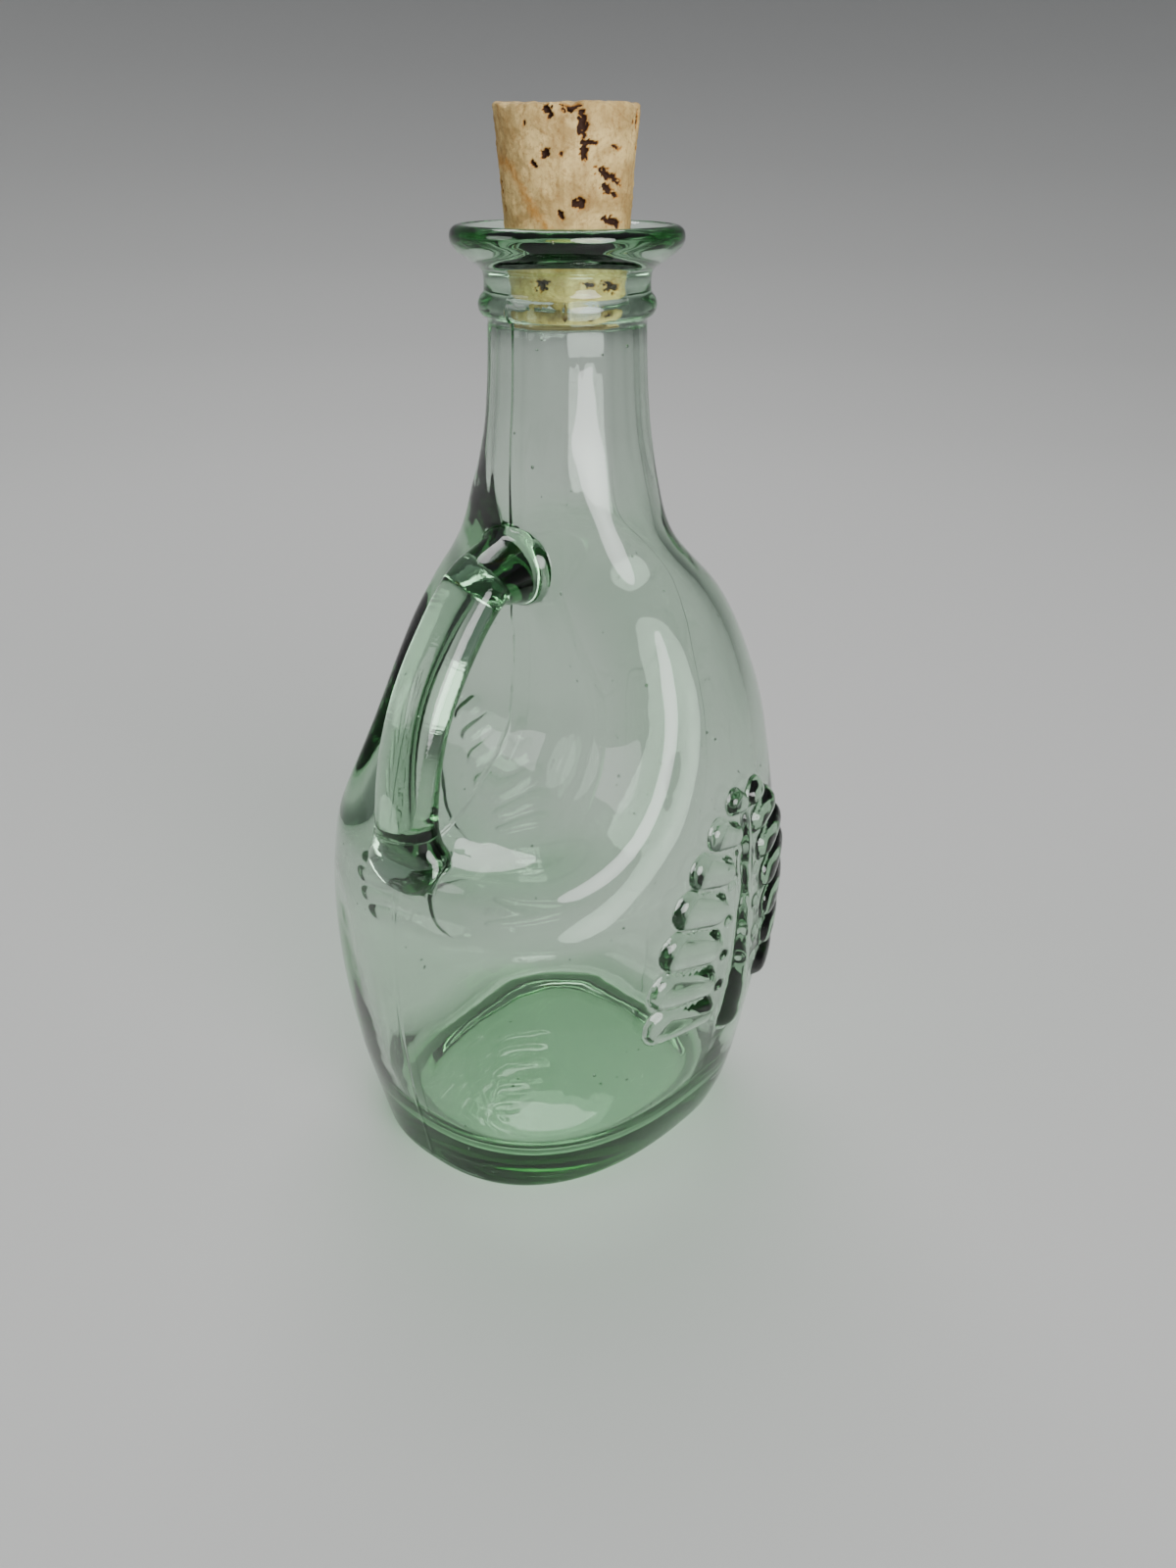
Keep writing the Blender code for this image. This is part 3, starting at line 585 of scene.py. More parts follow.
def new_tree(name, sockets):
    """A Geometry Nodes tree with named inputs, its input node and its output node."""
    tree = bpy.data.node_groups.new(name, "GeometryNodeTree")
    tree.interface.new_socket("Geometry", in_out="INPUT", socket_type="NodeSocketGeometry")
    tree.interface.new_socket("Geometry", in_out="OUTPUT", socket_type="NodeSocketGeometry")
    for label, kind in sockets.items():
        tree.interface.new_socket(label, in_out="INPUT", socket_type="NodeSocket" + kind)
    return tree, tree.nodes.new("NodeGroupInput").outputs, tree.nodes.new("NodeGroupOutput").inputs


def baked(source, name):
    """Plain mesh of an object with its modifier applied; the object itself goes."""
    evaluated = source.evaluated_get(bpy.context.evaluated_depsgraph_get())
    mesh = bpy.data.meshes.new_from_object(evaluated)
    mesh.name = name
    bpy.data.objects.remove(source)
    return mesh


def grow(start, tree, values, name):
    """Run a tree on a mesh with its inputs set."""
    source = new_object(tree.name, start)
    modifier = source.modifiers.new(tree.name, "NODES")
    modifier.node_group = tree
    for socket in tree.interface.items_tree:
        if socket.in_out == "INPUT" and socket.name in values:
            modifier[socket.identifier] = values[socket.name]
    return baked(source, name)


def superellipse(tree, turned, squareness):
    """Sine or cosine, bent toward a squarer oval."""
    power = calculate(tree, "DIVIDE", 2.0, squareness)
    size = calculate(tree, "POWER", calculate(tree, "ABSOLUTE", turned), power)
    return calculate(tree, "MULTIPLY", size, calculate(tree, "SIGN", turned))


def scaled(tree, vector, factor):
    """A vector times a number."""
    return add_node(tree, "ShaderNodeVectorMath", {0: vector, "Scale": factor},
                    operation="SCALE").outputs[0]


def step_on(tree, geometry, kind, inputs=None, **settings):
    """Geometry after one more node, whose first socket takes and gives it."""
    return add_node(tree, kind, {0: geometry, **(inputs or {})}, **settings).outputs[0]


def captured(tree, geometry, kind, label, value):
    """Keep a value with a geometry's points: the geometry, then the kept value."""
    keeper = add_node(tree, "GeometryNodeCaptureAttribute", {"Geometry": geometry})
    keeper.capture_items.new(kind, label)
    tree.links.new(value, keeper.inputs[label])
    return keeper.outputs["Geometry"], keeper.outputs[label]


def hand_out(tree, out, geometry, material):
    """Set the material on a tree's result and give it out."""
    finished = step_on(tree, geometry, "GeometryNodeSetMaterial", {"Material": material})
    tree.links.new(finished, out["Geometry"])
    return tree


def bar_tree():
    """Sweep a flattened oval along a path whose points carry thickness, width and the thick way."""
    tree, given, out = new_tree("handle_bar", {
        "Steps": "Int", "Sides": "Int", "Squareness": "Float", "Material": "Material"})
    line = step_on(tree, given["Geometry"], "GeometryNodeMeshToCurve")
    line = step_on(tree, line, "GeometryNodeCurveSplineType", spline_type="CATMULL_ROM")
    line = step_on(tree, line, "GeometryNodeResampleCurve", {"Count": given["Steps"]})
    place = add_node(tree, "GeometryNodeInputPosition").outputs[0]
    line, centre = captured(tree, line, "VECTOR", "Centre", place)
    circle = add_node(tree, "GeometryNodeCurvePrimitiveCircle",
                      {"Resolution": given["Sides"], "Radius": CARRIER_RADIUS})
    factor = add_node(tree, "GeometryNodeSplineParameter").outputs["Factor"]
    section, turn = captured(tree, circle.outputs[0], "FLOAT", "Turn", factor)
    swept = step_on(tree, line, "GeometryNodeCurveToMesh",
                    {"Profile Curve": section, "Fill Caps": True})
    angle = calculate(tree, "MULTIPLY", turn, 2.0 * math.pi)
    named = {label: add_node(tree, "GeometryNodeInputNamedAttribute", {"Name": label},
                             data_type=kind).outputs["Attribute"]
             for label, kind in (("thickness", "FLOAT"), ("width", "FLOAT"),
                                 ("thick_way", "FLOAT_VECTOR"))}
    halves = []
    for turned, label in (("COSINE", "thickness"), ("SINE", "width")):
        bent = superellipse(tree, calculate(tree, turned, angle), given["Squareness"])
        full = calculate(tree, "MULTIPLY", bent, named[label])
        halves.append(calculate(tree, "MULTIPLY", full, 0.5))
    aside = add_node(tree, "ShaderNodeCombineXYZ", {"Y": halves[1]}).outputs[0]
    offset = add_node(tree, "ShaderNodeVectorMath",
                      {0: scaled(tree, named["thick_way"], halves[0]), 1: aside}).outputs[0]
    moved = add_node(tree, "ShaderNodeVectorMath", {0: centre, 1: offset}).outputs[0]
    placed = step_on(tree, swept, "GeometryNodeSetPosition", {"Position": moved})
    real = step_on(tree, placed, "GeometryNodeRealizeInstances")
    return hand_out(tree, out, real, given["Material"])


def set_attribute(mesh, label, values):
    """Give each point of a mesh a value, for its tree or its material."""
    mesh.attributes.new(label, "FLOAT", "POINT").data.foreach_set("value", values)


def handle_path():
    """The handle's centre line as a mesh line whose points carry the section's sizes."""
    bow = np.array(HANDLE_BOW)
    foot = np.array([((outer + inner) / 2.0, height, outer - inner, width)
                     for outer, inner, height, width in HANDLE_FOOT])
    rows = np.concatenate((bow, foot))
    run = np.gradient(np.stack((-rows[:, 0], rows[:, 1]), axis=-1), axis=0)
    run /= np.linalg.norm(run, axis=-1, keepdims=True)
    upright = np.arange(len(rows)) >= len(bow) - 1
    run[upright] = (0.0, -1.0)
    mesh = bpy.data.meshes.new("handle_path")
    mesh.from_pydata([(neck_x - out, 0.0, height) for out, height in rows[:, :2]],
                     [(step, step + 1) for step in range(len(rows) - 1)], [])
    set_attribute(mesh, "thickness", rows[:, 2])
    set_attribute(mesh, "width", rows[:, 3])
    ways = np.stack((run[:, 1], np.zeros(len(rows)), -run[:, 0]), axis=-1)
    thick_way = mesh.attributes.new("thick_way", "FLOAT_VECTOR", "POINT")
    thick_way.data.foreach_set("vector", ways.ravel())
    return mesh


# Bottle-green glass: clear and nearly colourless where thin, deep green where the light runs far
# through it. Its face is a little uneven, with faint smears and fine cross ripples on the handle.
GLASS_ABSORBS = (0.19, 0.57, 0.25, 1.0)
GLASS_DENSITY = 75.0
GLASS_IOR = 1.52
GLASS_SHADOW = (0.82, 0.88, 0.84, 1.0)
GLASS_CLEAN, GLASS_SMEARED = (1.0, 1.0, 1.0, 1.0), (0.97, 0.99, 0.98, 1.0)
SMEAR_RANGE, SMEAR_ROUGHNESS = (0.45, 0.85), (0.004, 0.05)
RIPPLE_STRETCH = (0.6, 0.25, 1.0)
# Noises: scale and detail. Bumps: strength and distance.
SMEAR_NOISE, UNEVEN_NOISE, RIPPLE_NOISE = (55.0, 5.0), (120.0, 1.5), (1500.0, 2.0)
UNEVEN_BUMP, RIPPLE_BUMP = (0.10, 0.0006), (0.12, 0.0002)


def new_material(name, constants):
    """A material, its tree and its shader, with the constants on the shader's own sockets."""
    material = bpy.data.materials.new(name)
    material.use_nodes = True
    shader = material.node_tree.nodes["Principled BSDF"]
    for socket, value in constants.items():
        shader.inputs[socket].default_value = value
    return material, material.node_tree, shader


def noise_field(tree, place, scale, detail, **others):
    """Noise from 0 to 1 at a place."""
    return add_node(tree, "ShaderNodeTexNoise",
                    {"Vector": place, "Scale": scale, "Detail": detail, **others}).outputs["Fac"]


def remap(tree, value, low, high, lowest=0.0, highest=1.0):
    """Stretch the values from low to high over lowest to highest, and stop there."""
    return add_node(tree, "ShaderNodeMapRange", {
        "Value": value, "From Min": low, "From Max": high, "To Min": lowest,
        "To Max": highest}).outputs[0]


def blend(tree, factor, under, over):
    """Mix of two colours."""
    return add_node(tree, "ShaderNodeMix", {"Factor": factor, 6: under, 7: over},
                    data_type="RGBA").outputs[2]


def stretched(tree, place, factors):
    """A place scaled by a factor for each axis."""
    return add_node(tree, "ShaderNodeMapping", {"Vector": place, "Scale": factors}).outputs[0]


def bump(tree, height, strength, distance, **others):
    """Normal of a face with fine relief."""
    return add_node(tree, "ShaderNodeBump", {
        "Height": height, "Strength": strength, "Distance": distance, **others}).outputs[0]


def own_attribute(tree, label):
    """A value that the mesh carries."""
    return add_node(tree, "ShaderNodeAttribute", attribute_name=label).outputs["Fac"]


bottle_glass, nodes, glass_shader = new_material("bottle_glass", {
    "Metallic": 0.0, "Transmission Weight": 1.0, "IOR": GLASS_IOR})
place = add_node(nodes, "ShaderNodeTexCoord").outputs["Object"]
smears = noise_field(nodes, place, *SMEAR_NOISE, Distortion=1.2)
smear_roughness = remap(nodes, smears, *SMEAR_RANGE, *SMEAR_ROUGHNESS)
nodes.links.new(smear_roughness, glass_shader.inputs["Roughness"])
nodes.links.new(blend(nodes, smears, GLASS_CLEAN, GLASS_SMEARED), glass_shader.inputs["Base Color"])
glass_normal = bump(nodes, noise_field(nodes, place, *UNEVEN_NOISE), *UNEVEN_BUMP)
ripples = noise_field(nodes, stretched(nodes, place, RIPPLE_STRETCH), *RIPPLE_NOISE, Distortion=0.4)
ripples = calculate(nodes, "MULTIPLY", ripples, own_attribute(nodes, "handle"))
glass_normal = bump(nodes, ripples, *RIPPLE_BUMP, Normal=glass_normal)
nodes.links.new(glass_normal, glass_shader.inputs["Normal"])
absorption = add_node(nodes, "ShaderNodeVolumeAbsorption",
                      {"Color": GLASS_ABSORBS, "Density": GLASS_DENSITY})
clear = add_node(nodes, "ShaderNodeBsdfTransparent", {"Color": GLASS_SHADOW})
light_path = add_node(nodes, "ShaderNodeLightPath")
through = add_node(nodes, "ShaderNodeMixShader", {
    0: light_path.outputs["Is Shadow Ray"], 1: glass_shader.outputs[0], 2: clear.outputs[0]})
glass_output = nodes.nodes["Material Output"]
nodes.links.new(through.outputs[0], glass_output.inputs["Surface"])
nodes.links.new(absorption.outputs[0], glass_output.inputs["Volume"])

handle_mesh = grow(handle_path(), bar_tree(), {
    "Steps": HANDLE_STEPS, "Sides": HANDLE_SIDES, "Squareness": HANDLE_SQUARENESS,
    "Material": bottle_glass}, "handle_bar")


# Fusing: skin and handle become one closed mass of glass, as on the real jug, and the handle's own
# face is marked for its ripples. Air seeds are then let into the wall.
# How far the handle's face stands off the skin, its half width, where it starts and its top.
HANDLE_STANDS_OFF, HANDLE_HALF_SPAN = 0.0008, 0.010
HANDLE_STARTS, HANDLE_TOP = -0.014, 0.125


def outward(mesh):
    """Turn a closed mesh's faces outward."""
    shape = bmesh.new()
    shape.from_mesh(mesh)
    bmesh.ops.recalc_face_normals(shape, faces=shape.faces)
    if shape.calc_volume(signed=True) < 0.0:
        bmesh.ops.reverse_faces(shape, faces=shape.faces)
    shape.to_mesh(mesh)
    shape.free()


def read_rows(values, label):
    """Three numbers for each point of a mesh, as rows."""
    numbers = np.empty(len(values) * 3)
    values.foreach_get(label, numbers)
    return numbers.reshape(-1, 3)


skin.vertices.foreach_set("co", (read_rows(skin.vertices, "co") + (neck_x, 0.0, 0.0)).ravel())
skin.materials.append(bottle_glass)
outward(skin)
outward(handle_mesh)
skin_object, handle_object = new_object("jug_skin", skin), new_object("handle_bar", handle_mesh)
fuse = skin_object.modifiers.new("fuse", "BOOLEAN")
fuse.operation = "UNION"
fuse.solver = "MANIFOLD"
fuse.object = handle_object
glass_mesh = baked(skin_object, "fused_glass")
bpy.data.objects.remove(handle_object)
glass_mesh.shade_smooth()
along, across, heights = (read_rows(glass_mesh.vertices, "co") - (neck_x, 0.0, 0.0)).T
beyond = np.hypot(along, across) - skin_radius(np.arctan2(across, along), heights)
is_handle = ((beyond > HANDLE_STANDS_OFF) & (np.abs(across) < HANDLE_HALF_SPAN)
             & (along < HANDLE_STARTS) & (heights < HANDLE_TOP))
set_attribute(glass_mesh, "handle", is_handle.astype(float))

SEED_DENSITY = 2600.0
SEED_RADII = (0.00010, 0.00034)
SEED_DEPTH = 0.0012
SEED_NUMBER = 11


def seed_tree():
    """Let small air bubbles into the glass, a set depth below its outer face."""
    tree, given, out = new_tree("air_seeds", {
        "Density": "Float", "Smallest": "Float", "Largest": "Float", "Depth": "Float",
        "Seed": "Int", "Material": "Material"})
    scatter = add_node(tree, "GeometryNodeDistributePointsOnFaces", {
        "Mesh": given["Geometry"], "Density": given["Density"], "Seed": given["Seed"]})
    inward = calculate(tree, "MULTIPLY", given["Depth"], -1.0)
    sunk = step_on(tree, scatter.outputs["Points"], "GeometryNodeSetPosition",
                   {"Offset": scaled(tree, scatter.outputs["Normal"], inward)})
    size = add_node(tree, "FunctionNodeRandomValue", {
        "Min": given["Smallest"], "Max": given["Largest"], "Seed": given["Seed"]},
        data_type="FLOAT")
    bubble = add_node(tree, "GeometryNodeMeshIcoSphere", {"Radius": 1.0, "Subdivisions": 1})
    hollow = step_on(tree, bubble.outputs["Mesh"], "GeometryNodeFlipFaces")
    placed = step_on(tree, sunk, "GeometryNodeInstanceOnPoints", {
        "Instance": hollow, "Scale": next(item for item in size.outputs if item.enabled)})
    real = step_on(tree, placed, "GeometryNodeRealizeInstances")
    joined = add_node(tree, "GeometryNodeJoinGeometry")
    for geometry in (step_on(tree, real, "GeometryNodeSetShadeSmooth"), given["Geometry"]):
        tree.links.new(geometry, joined.inputs[0])
    return hand_out(tree, out, joined.outputs[0], given["Material"])


glass_mesh = grow(glass_mesh, seed_tree(), {
    "Density": SEED_DENSITY, "Smallest": SEED_RADII[0], "Largest": SEED_RADII[1],
    "Depth": SEED_DEPTH, "Seed": SEED_NUMBER, "Material": bottle_glass}, "glass_jug")
jug = new_object("glass_jug", glass_mesh)
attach(jug, "jar")
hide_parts("jar_body", "jar_handle")


# Cork: a tapered plug punched from natural bark, with dark woody pores, chipped edges, an ochre
# streak and a fine grain. It is pushed by hand into the throat.
# Direction of the camera round the cork's axis, in degrees.
CORK_TURN_TO_CAMERA = -138.6
CORK_COLUMNS = 288
CORK_BOTTOM_ROWS, CORK_CORNER_ROWS, CORK_SIDE_ROWS, CORK_TOP_ROWS = 22, 5, 118, 30
CORK_HUB = 0.03
CORK_EDGE = 0.0006
# Where the unrolled side is cut, in degrees to the right of the point that faces the camera.
CORK_CUT = -80.0
# How far in from the side, and from the two end faces, a point still belongs to them.
CORK_SIDE_REACH, CORK_SIDE_FADE, CORK_FACE_REACH = 0.0012, 0.0010, 0.0003
# Pores in the photo: degrees to the right, height, half width, half height, lean and depth.
CORK_PORES = (
    (-14.4, 0.1868, 0.00070, 0.00125, 35.0, 0.9),
    (3.4, 0.1876, 0.00150, 0.00100, 0.0, 1.0),
    (12.2, 0.1848, 0.00080, 0.00200, 4.0, 1.0),
    (10.6, 0.1866, 0.00050, 0.00060, 0.0, 0.7),
    (13.6, 0.1812, 0.00065, 0.00160, 0.0, 0.95),
    (17.1, 0.1824, 0.00160, 0.00040, 0.0, 0.9),
    (-17.3, 0.1811, 0.00086, 0.00080, 20.0, 0.95),
    (-27.8, 0.1795, 0.00052, 0.00058, 30.0, 0.9),
    (-35.3, 0.1851, 0.00030, 0.00055, 0.0, 0.7),
    (-4.3, 0.1808, 0.00040, 0.00035, 0.0, 0.5),
    (33.0, 0.1781, 0.00170, 0.00075, -20.0, 1.0),
    (43.0, 0.1773, 0.00190, 0.00060, -25.0, 0.85),
    (43.7, 0.1818, 0.00110, 0.00035, -10.0, 0.5),
    (36.5, 0.1759, 0.00130, 0.00070, -15.0, 1.0),
    (44.5, 0.1751, 0.00110, 0.00045, -20.0, 0.8),
    (10.4, 0.1738, 0.00125, 0.00095, 8.0, 1.0),
    (-5.4, 0.1722, 0.00040, 0.00095, 32.0, 0.9),
    (42.0, 0.1712, 0.00220, 0.00070, -8.0, 0.7),
    (50.0, 0.1706, 0.00090, 0.00100, 0.0, 0.9),
    (-75.0, 0.1762, 0.00060, 0.00150, 0.0, 0.95),
    (-72.0, 0.1732, 0.00050, 0.00080, 0.0, 0.9),
    (74.0, 0.1858, 0.00055, 0.00180, 0.0, 0.85),
    (-22.4, 0.1621, 0.00150, 0.00100, 0.0, 0.95),
    (19.5, 0.1620, 0.00190, 0.00040, -6.0, 0.9),
    (42.0, 0.1616, 0.00230, 0.00115, -18.0, 0.95))
# Pores that the photo doesn't show: seed, count, and the range of each of the same six values, some
# with stretches to choose from. On the end faces the first two are places across the face.
SIDE_PORES = (5, 64, (
    (62.0, 280.0), (CORK_BOTTOM + 0.0008, CORK_TOP - 0.0008), (0.00020, 0.00110, 1.0, 1.6),
    (0.00020, 0.00065, 1.0, 2.0), (-35.0, 35.0), (0.4, 1.0)))
FACE_PORES = (8, 34, (
    (-0.0095, 0.0095), (-0.0095, 0.0095), (0.0002, 0.0006), (0.0004, 0.0022), (60.0, 120.0),
    (0.4, 1.0)))
PORE_DEPTH = 0.0009
PORE_STEEPNESS = 2.2
# Streak: degrees to the right and height of its bends.
STREAK = ((-78.0, 0.1800), (-54.0, 0.1791), (-42.3, 0.1760), (-34.0, 0.1732), (-20.0, 0.1706),
          (-8.0, 0.1670))
STREAK_HALF_WIDTH = 0.0011
STREAK_FILL, STREAK_RAG = 1.2, 0.6
# Fractal noise: roughness, how much finer each layer is, and layers. Then each use's own values.
FRACTAL = (0.6, 2.1, 4)
RAG_SCALE, RAG_STRENGTH = 1700.0, 0.75
GRAIN_SCALE, GRAIN_DEPTH = 900.0, 0.00010
WARP_SCALE, WARP_DEPTH = 130.0, 0.00022
# How far the side may rise, so that it keeps off the throat: where it is seated, at its foot, and
# what is added above the mouth.
SEAT_TOP, SEATED_RISE = 0.1700, 0.00006
FOOT_RISE, FREE_RISE, FREE_HEIGHT, FREE_FADE = 0.00002, 0.0002, 0.171, 0.003
# Chips in the top edge: degrees to the right, half width and depth.
CHIPS = ((-58.0, 0.0022, 0.0008), (-40.0, 0.0030, 0.0006), (-20.0, 0.0014, 0.0005),
         (3.4, 0.0016, 0.0009), (30.0, 0.0012, 0.0004), (70.0, 0.0020, 0.0006),
         (120.0, 0.0026, 0.0008), (165.0, 0.0014, 0.0006), (215.0, 0.0030, 0.0007),
         (250.0, 0.0018, 0.0005))
CHIP_REACH, CHIP_FALL, CHIP_FILL, CHIP_RAG, CHIP_INWARD = 0.0022, 1.6, 0.75, 0.5, 0.5


def unrolled(degrees):
    """Distance round the cork's side from the point that faces the camera."""
    return np.radians(degrees) * CORK_RADII[1]


def drawn_pores(seed, count, ranges):
    """Pores with random values from the ranges."""
    draw = np.random.default_rng(seed)
    return [tuple(draw.uniform(low, high) * (draw.choice(stretches) if stretches else 1.0)
                  for low, high, *stretches in ranges) for _ in range(count)]


def ragged(points, scale, strength):
    """Noise at each point, centred on 0."""
    return np.array([noise.fractal(Vector(point) * scale, *FRACTAL) for point in points]) * strength


def pore_mask(across, up, pores, rag):
    """How deep each point lies in a pore, 0 to 1, with ragged outlines."""
    mask = np.zeros(len(across))
    for place, height, wide, tall, lean, depth in pores:
        x, y = across - place, up - height
        turn = math.radians(lean)
        along = (x * math.cos(turn) + y * math.sin(turn)) / wide
        over = (-x * math.sin(turn) + y * math.cos(turn)) / tall
        inside_pore = 1.0 - np.hypot(along, over) + rag
        mask = np.maximum(mask, np.clip(inside_pore * PORE_STEEPNESS, 0.0, 1.0) * depth)
    return mask


def cork_rings():
    """Rings of the plain tapered plug: bottom face, side with softened edges, top face."""
    turns = np.arange(CORK_COLUMNS) / CORK_COLUMNS * 2.0 * math.pi
    height, low, high = CORK_TOP - CORK_BOTTOM, CORK_RADII[0], CORK_RADII[1]
    profile = [(low * share, 0.0)
               for share in np.linspace(CORK_HUB, 1.0 - CORK_EDGE / low, CORK_BOTTOM_ROWS)]
    corner = np.linspace(0.0, math.pi / 2.0, CORK_CORNER_ROWS)[1:-1]
    profile += [(low - CORK_EDGE + CORK_EDGE * math.sin(turn), CORK_EDGE * (1.0 - math.cos(turn)))
                for turn in corner]
    for share in np.linspace(0.0, 1.0, CORK_SIDE_ROWS):
        up = mix(CORK_EDGE, height - CORK_EDGE, share)
        profile.append((mix(low, high, up / height), up))
    profile += [(high - CORK_EDGE + CORK_EDGE * math.cos(turn),
                 height - CORK_EDGE * (1.0 - math.sin(turn))) for turn in corner]
    profile += [(high * share, height)
                for share in np.linspace(1.0 - CORK_EDGE / high, CORK_HUB, CORK_TOP_ROWS)]
    profile = np.array(profile)
    return rings(turns, (profile[:, 1] + CORK_BOTTOM)[:, None], profile[:, 0][:, None])


cork_mesh = stack_mesh("natural_cork", [cork_rings()])
outward(cork_mesh)
points = read_rows(cork_mesh.vertices, "co")
normals = read_rows(cork_mesh.vertex_normals, "vector")
heights = points[:, 2]
radius = np.hypot(points[:, 0], points[:, 1])
degrees = np.degrees(np.arctan2(points[:, 1], points[:, 0])) - CORK_TURN_TO_CAMERA
around = unrolled((degrees - CORK_CUT) % 360.0 + CORK_CUT)
side_share = ease((radius - cork_radius(heights) + CORK_SIDE_REACH) / CORK_SIDE_FADE)
rag = ragged(points, RAG_SCALE, RAG_STRENGTH)
side_pores = [(unrolled(row[0]),) + row[1:] for row in (*CORK_PORES, *drawn_pores(*SIDE_PORES))]
pores = pore_mask(around, heights, side_pores, rag) * side_share
on_face = (heights > CORK_TOP - CORK_FACE_REACH) | (heights < CORK_BOTTOM + CORK_FACE_REACH)
face_pores = pore_mask(points[:, 0], points[:, 1], drawn_pores(*FACE_PORES), rag)
pores = np.where(on_face, np.maximum(pores, face_pores), pores)
streak = np.zeros(len(points))
bends = np.array([(unrolled(place), height) for place, height in STREAK])
for start, end in zip(bends, bends[1:]):
    way = end - start
    share = ((around - start[0]) * way[0] + (heights - start[1]) * way[1]) / (way @ way)
    share = np.clip(share, 0.0, 1.0)
    off = np.hypot(around - start[0] - share * way[0], heights - start[1] - share * way[1])
    fill = STREAK_FILL - off / STREAK_HALF_WIDTH + rag * STREAK_RAG
    streak = np.maximum(streak, np.clip(fill, 0.0, 1.0))
grain = ragged(points, GRAIN_SCALE, GRAIN_DEPTH)
warp = ragged(points, WARP_SCALE, WARP_DEPTH)
lift = grain + warp - pores * PORE_DEPTH - GRAIN_DEPTH
seated = (heights < SEAT_TOP) & (side_share > 0.0)
lift = np.where(seated, np.minimum(lift, SEATED_RISE), lift)
lift = np.minimum(lift, FOOT_RISE + FREE_RISE * (1.0 - ease((FREE_HEIGHT - heights) / FREE_FADE)))
moved = points + normals * lift[:, None]
near_edge = (ease((heights - (CORK_TOP - CHIP_REACH)) / CHIP_REACH)
             * ease((radius - (CORK_RADII[1] - CHIP_REACH)) / CHIP_REACH))
for place, wide, deep in CHIPS:
    off = (around - unrolled(place)) / wide
    chip = deep * np.exp(-off * off * CHIP_FALL) * (CHIP_FILL + rag * CHIP_RAG)
    moved[:, 2] -= chip * near_edge
    moved[:, :2] *= (1.0 - chip * near_edge * CHIP_INWARD / CORK_RADII[1])[:, None]
moved += (neck_x, 0.0, 0.0)
cork_mesh.vertices.foreach_set("co", moved.ravel())
set_attribute(cork_mesh, "pore", pores)
set_attribute(cork_mesh, "streak", streak * side_share)

CORK_LIGHT = (0.66, 0.48, 0.20, 1.0)
CORK_MIDDLE = (0.36, 0.235, 0.085, 1.0)
CORK_SHADE = (0.24, 0.125, 0.038, 1.0)
CORK_STAIN = (0.38, 0.17, 0.028, 1.0)
CORK_PORE = (0.030, 0.011, 0.005, 1.0)
CLOUD_RANGE, FLECK_RANGE = (0.40, 0.62), (0.50, 0.72)
HALO_RANGE, DARK_RANGE = (0.0, 0.30), (0.38, 0.62)
# Noises: scale and detail.
CLOUD_NOISE, GRAIN_NOISE, SPECK_NOISE = (150.0, 7.0), (900.0, 4.0), (1500.0, 3.0)
CELL_SCALE = 1500.0
CORK_GRAIN_STRETCH = (1.0, 1.0, 0.22)
CORK_GRAIN_SHARE, SPECK_SHARE, DARK_SPECK_SHARE, CELL_SHARE = 0.45, 0.60, 0.35, 0.6
STAIN_SPECKS, STAIN_LEAST = 1.1, 0.10
CORK_ROUGHNESS = (0.62, 0.95)
CORK_BUMP = (0.35, 0.0002)

natural_cork, nodes, cork_shader = new_material("natural_cork", {
    "Metallic": 0.0, "Specular IOR Level": 0.25})
place = add_node(nodes, "ShaderNodeTexCoord").outputs["Object"]
clouds = noise_field(nodes, place, *CLOUD_NOISE, Roughness=0.66, Distortion=0.9)
flecks = noise_field(nodes, stretched(nodes, place, CORK_GRAIN_STRETCH), *GRAIN_NOISE)
specks = noise_field(nodes, place, *SPECK_NOISE, Roughness=0.7)
cells = add_node(nodes, "ShaderNodeTexVoronoi", {
    "Vector": place, "Scale": CELL_SCALE, "Randomness": 1.0}).outputs["Distance"]
shade = calculate(nodes, "MULTIPLY_ADD", remap(nodes, specks, *FLECK_RANGE), SPECK_SHARE,
                  remap(nodes, flecks, *FLECK_RANGE, 0.0, CORK_GRAIN_SHARE))
stain = calculate(nodes, "MULTIPLY", own_attribute(nodes, "streak"),
                  calculate(nodes, "MULTIPLY_ADD", specks, STAIN_SPECKS, STAIN_LEAST))
pore = own_attribute(nodes, "pore")
dark = calculate(nodes, "MULTIPLY_ADD", specks, DARK_SPECK_SHARE, pore)
base = blend(nodes, remap(nodes, clouds, *CLOUD_RANGE), CORK_MIDDLE, CORK_LIGHT)
for mask, colour in ((shade, CORK_SHADE), (stain, CORK_STAIN),
                     (remap(nodes, pore, *HALO_RANGE), CORK_STAIN),
                     (remap(nodes, dark, *DARK_RANGE), CORK_PORE)):
    base = blend(nodes, mask, base, colour)
nodes.links.new(base, cork_shader.inputs["Base Color"])
cork_roughness = remap(nodes, specks, 0.0, 1.0, *CORK_ROUGHNESS)
nodes.links.new(cork_roughness, cork_shader.inputs["Roughness"])
cork_relief = calculate(nodes, "MULTIPLY_ADD", cells, CELL_SHARE, specks)
nodes.links.new(bump(nodes, cork_relief, *CORK_BUMP), cork_shader.inputs["Normal"])

cork_mesh.materials.append(natural_cork)
cork = new_object("natural_cork", cork_mesh)
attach(cork, "cork")
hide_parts("cork_stopper")


# Studio: a pale floor that sweeps up all round, three soft round lights that the camera doesn't see
# and an even pale sky.
FLOOR_RINGS = (0.0, 0.4, 0.8)
FLOOR_SWEEP = 2.2
FLOOR_SWEEP_STEPS = 12
FLOOR_SIDES = 72
FLOOR_MERGE = 0.0005
FLOOR_COLOUR = (0.50, 0.50, 0.49, 1.0)
FLOOR_ROUGHNESS = 0.8
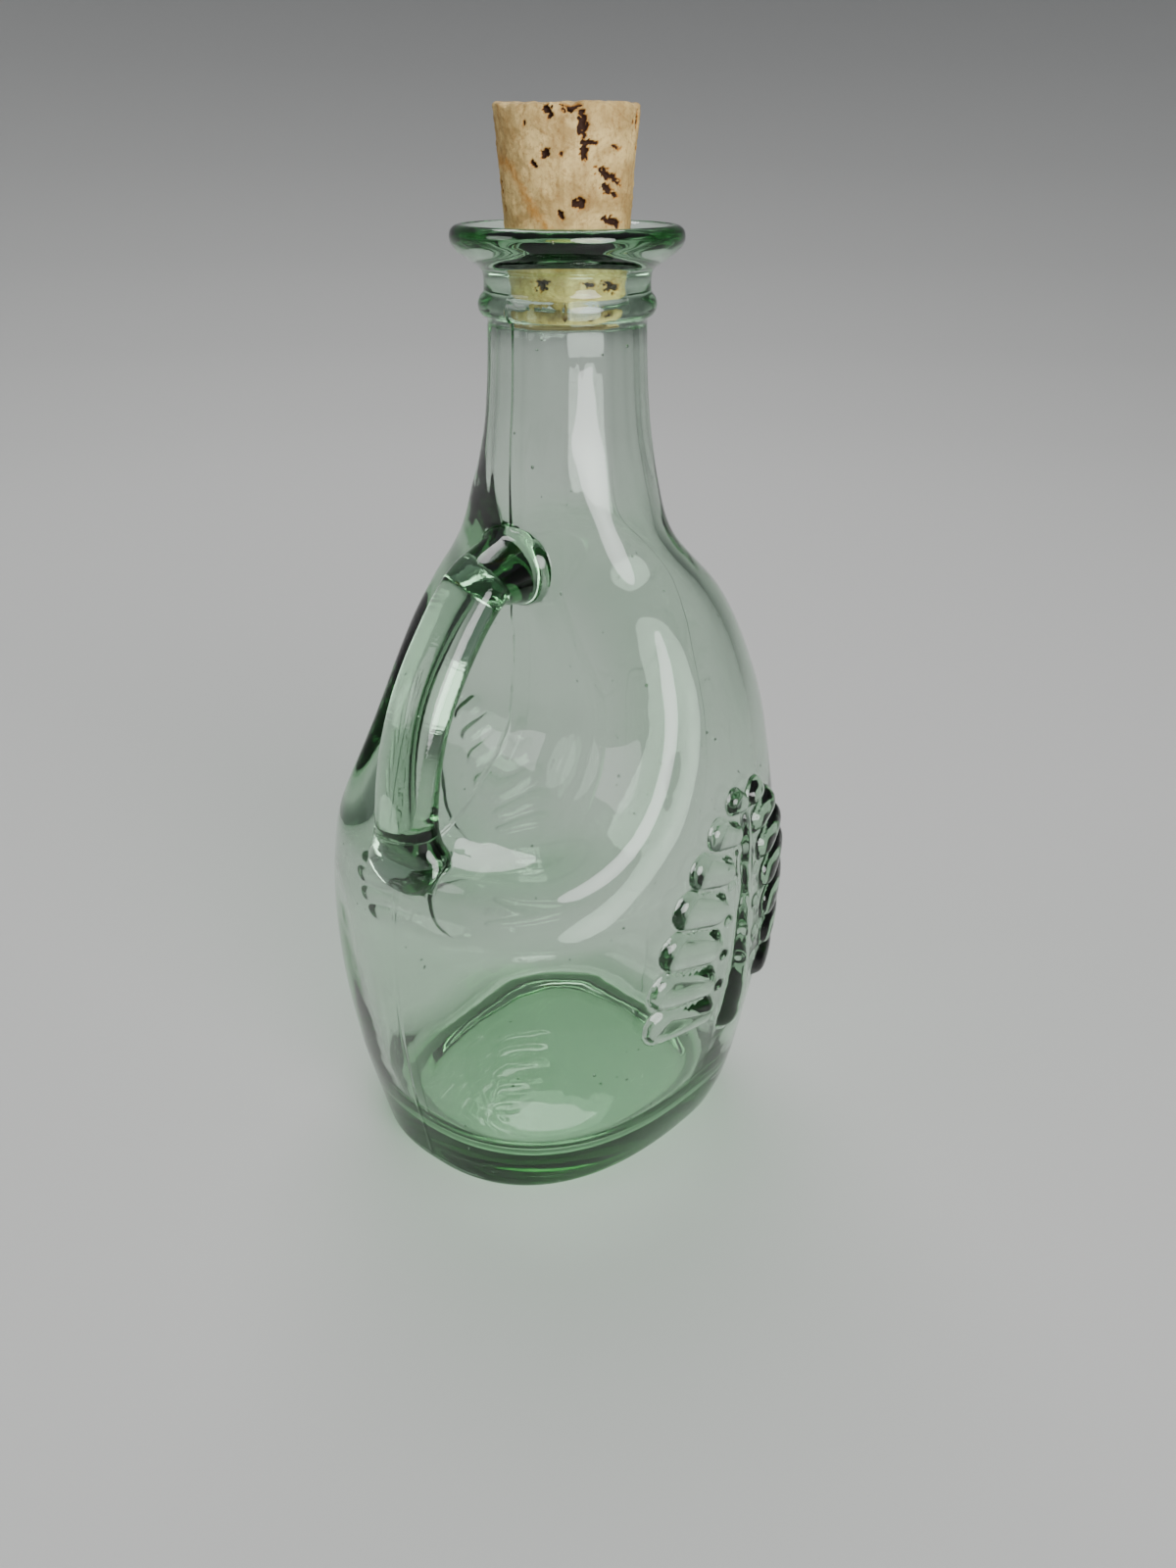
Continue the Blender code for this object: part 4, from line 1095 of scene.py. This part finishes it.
# Lights: name, place, width, power and spread in degrees. They face the jug's middle.
LIGHTS = (
    ("window", (-0.45, -1.05, 0.47), 0.95, 6.8, 90.0),
    ("ceiling", (0.45, 0.50, 1.25), 0.9, 12.0, 180.0),
    ("fill", (-0.95, 0.55, 0.6), 0.6, 2.6, 180.0))
LIGHTS_FACE = Vector((0.0, 0.0, 0.09))
LIGHT_BOUNCES = 40
SKY_COLOUR = (0.92, 0.95, 1.0, 1.0)
SKY_STRENGTH = 0.30

floor_mesh = bpy.data.meshes.new("floor")
shape = bmesh.new()
profile = [(out, 0.0) for out in FLOOR_RINGS]
for step in range(1, FLOOR_SWEEP_STEPS + 1):
    turn = step / FLOOR_SWEEP_STEPS * math.pi / 2.0
    profile.append((FLOOR_RINGS[-1] + FLOOR_SWEEP * math.sin(turn),
                    FLOOR_SWEEP * (1.0 - math.cos(turn))))
line = [shape.verts.new((out, 0.0, up)) for out, up in profile]
edges = [shape.edges.new(pair) for pair in zip(line, line[1:])]
bmesh.ops.spin(shape, geom=line + edges, axis=(0.0, 0.0, 1.0), cent=(0.0, 0.0, 0.0),
               steps=FLOOR_SIDES, angle=2.0 * math.pi)
bmesh.ops.remove_doubles(shape, verts=shape.verts, dist=FLOOR_MERGE)
bmesh.ops.recalc_face_normals(shape, faces=shape.faces)
shape.to_mesh(floor_mesh)
shape.free()
floor_mesh.shade_smooth()
pale_floor, _, _ = new_material("pale_floor", {
    "Base Color": FLOOR_COLOUR, "Roughness": FLOOR_ROUGHNESS})
floor_mesh.materials.append(pale_floor)
floor = new_object("floor", floor_mesh)

for name, place, width, power, spread in LIGHTS:
    data = bpy.data.lights.new(name, "AREA")
    data.shape = "DISK"
    data.size = width
    data.energy = power
    data.spread = math.radians(spread)
    light = new_object(name, data)
    light.location = place
    light.rotation_euler = (LIGHTS_FACE - Vector(place)).to_track_quat("-Z", "Y").to_euler()
    light.visible_camera = False

# The glass needs many bounces to stay clear where several walls lie behind each other.
cycles = bpy.context.scene.cycles
for limit in ("max_bounces", "transmission_bounces", "glossy_bounces", "transparent_max_bounces"):
    setattr(cycles, limit, LIGHT_BOUNCES)

sky = bpy.data.worlds.new("pale_sky")
bpy.context.scene.world = sky
sky.use_nodes = True
sky.node_tree.nodes["Background"].inputs["Color"].default_value = SKY_COLOUR
sky.node_tree.nodes["Background"].inputs["Strength"].default_value = SKY_STRENGTH
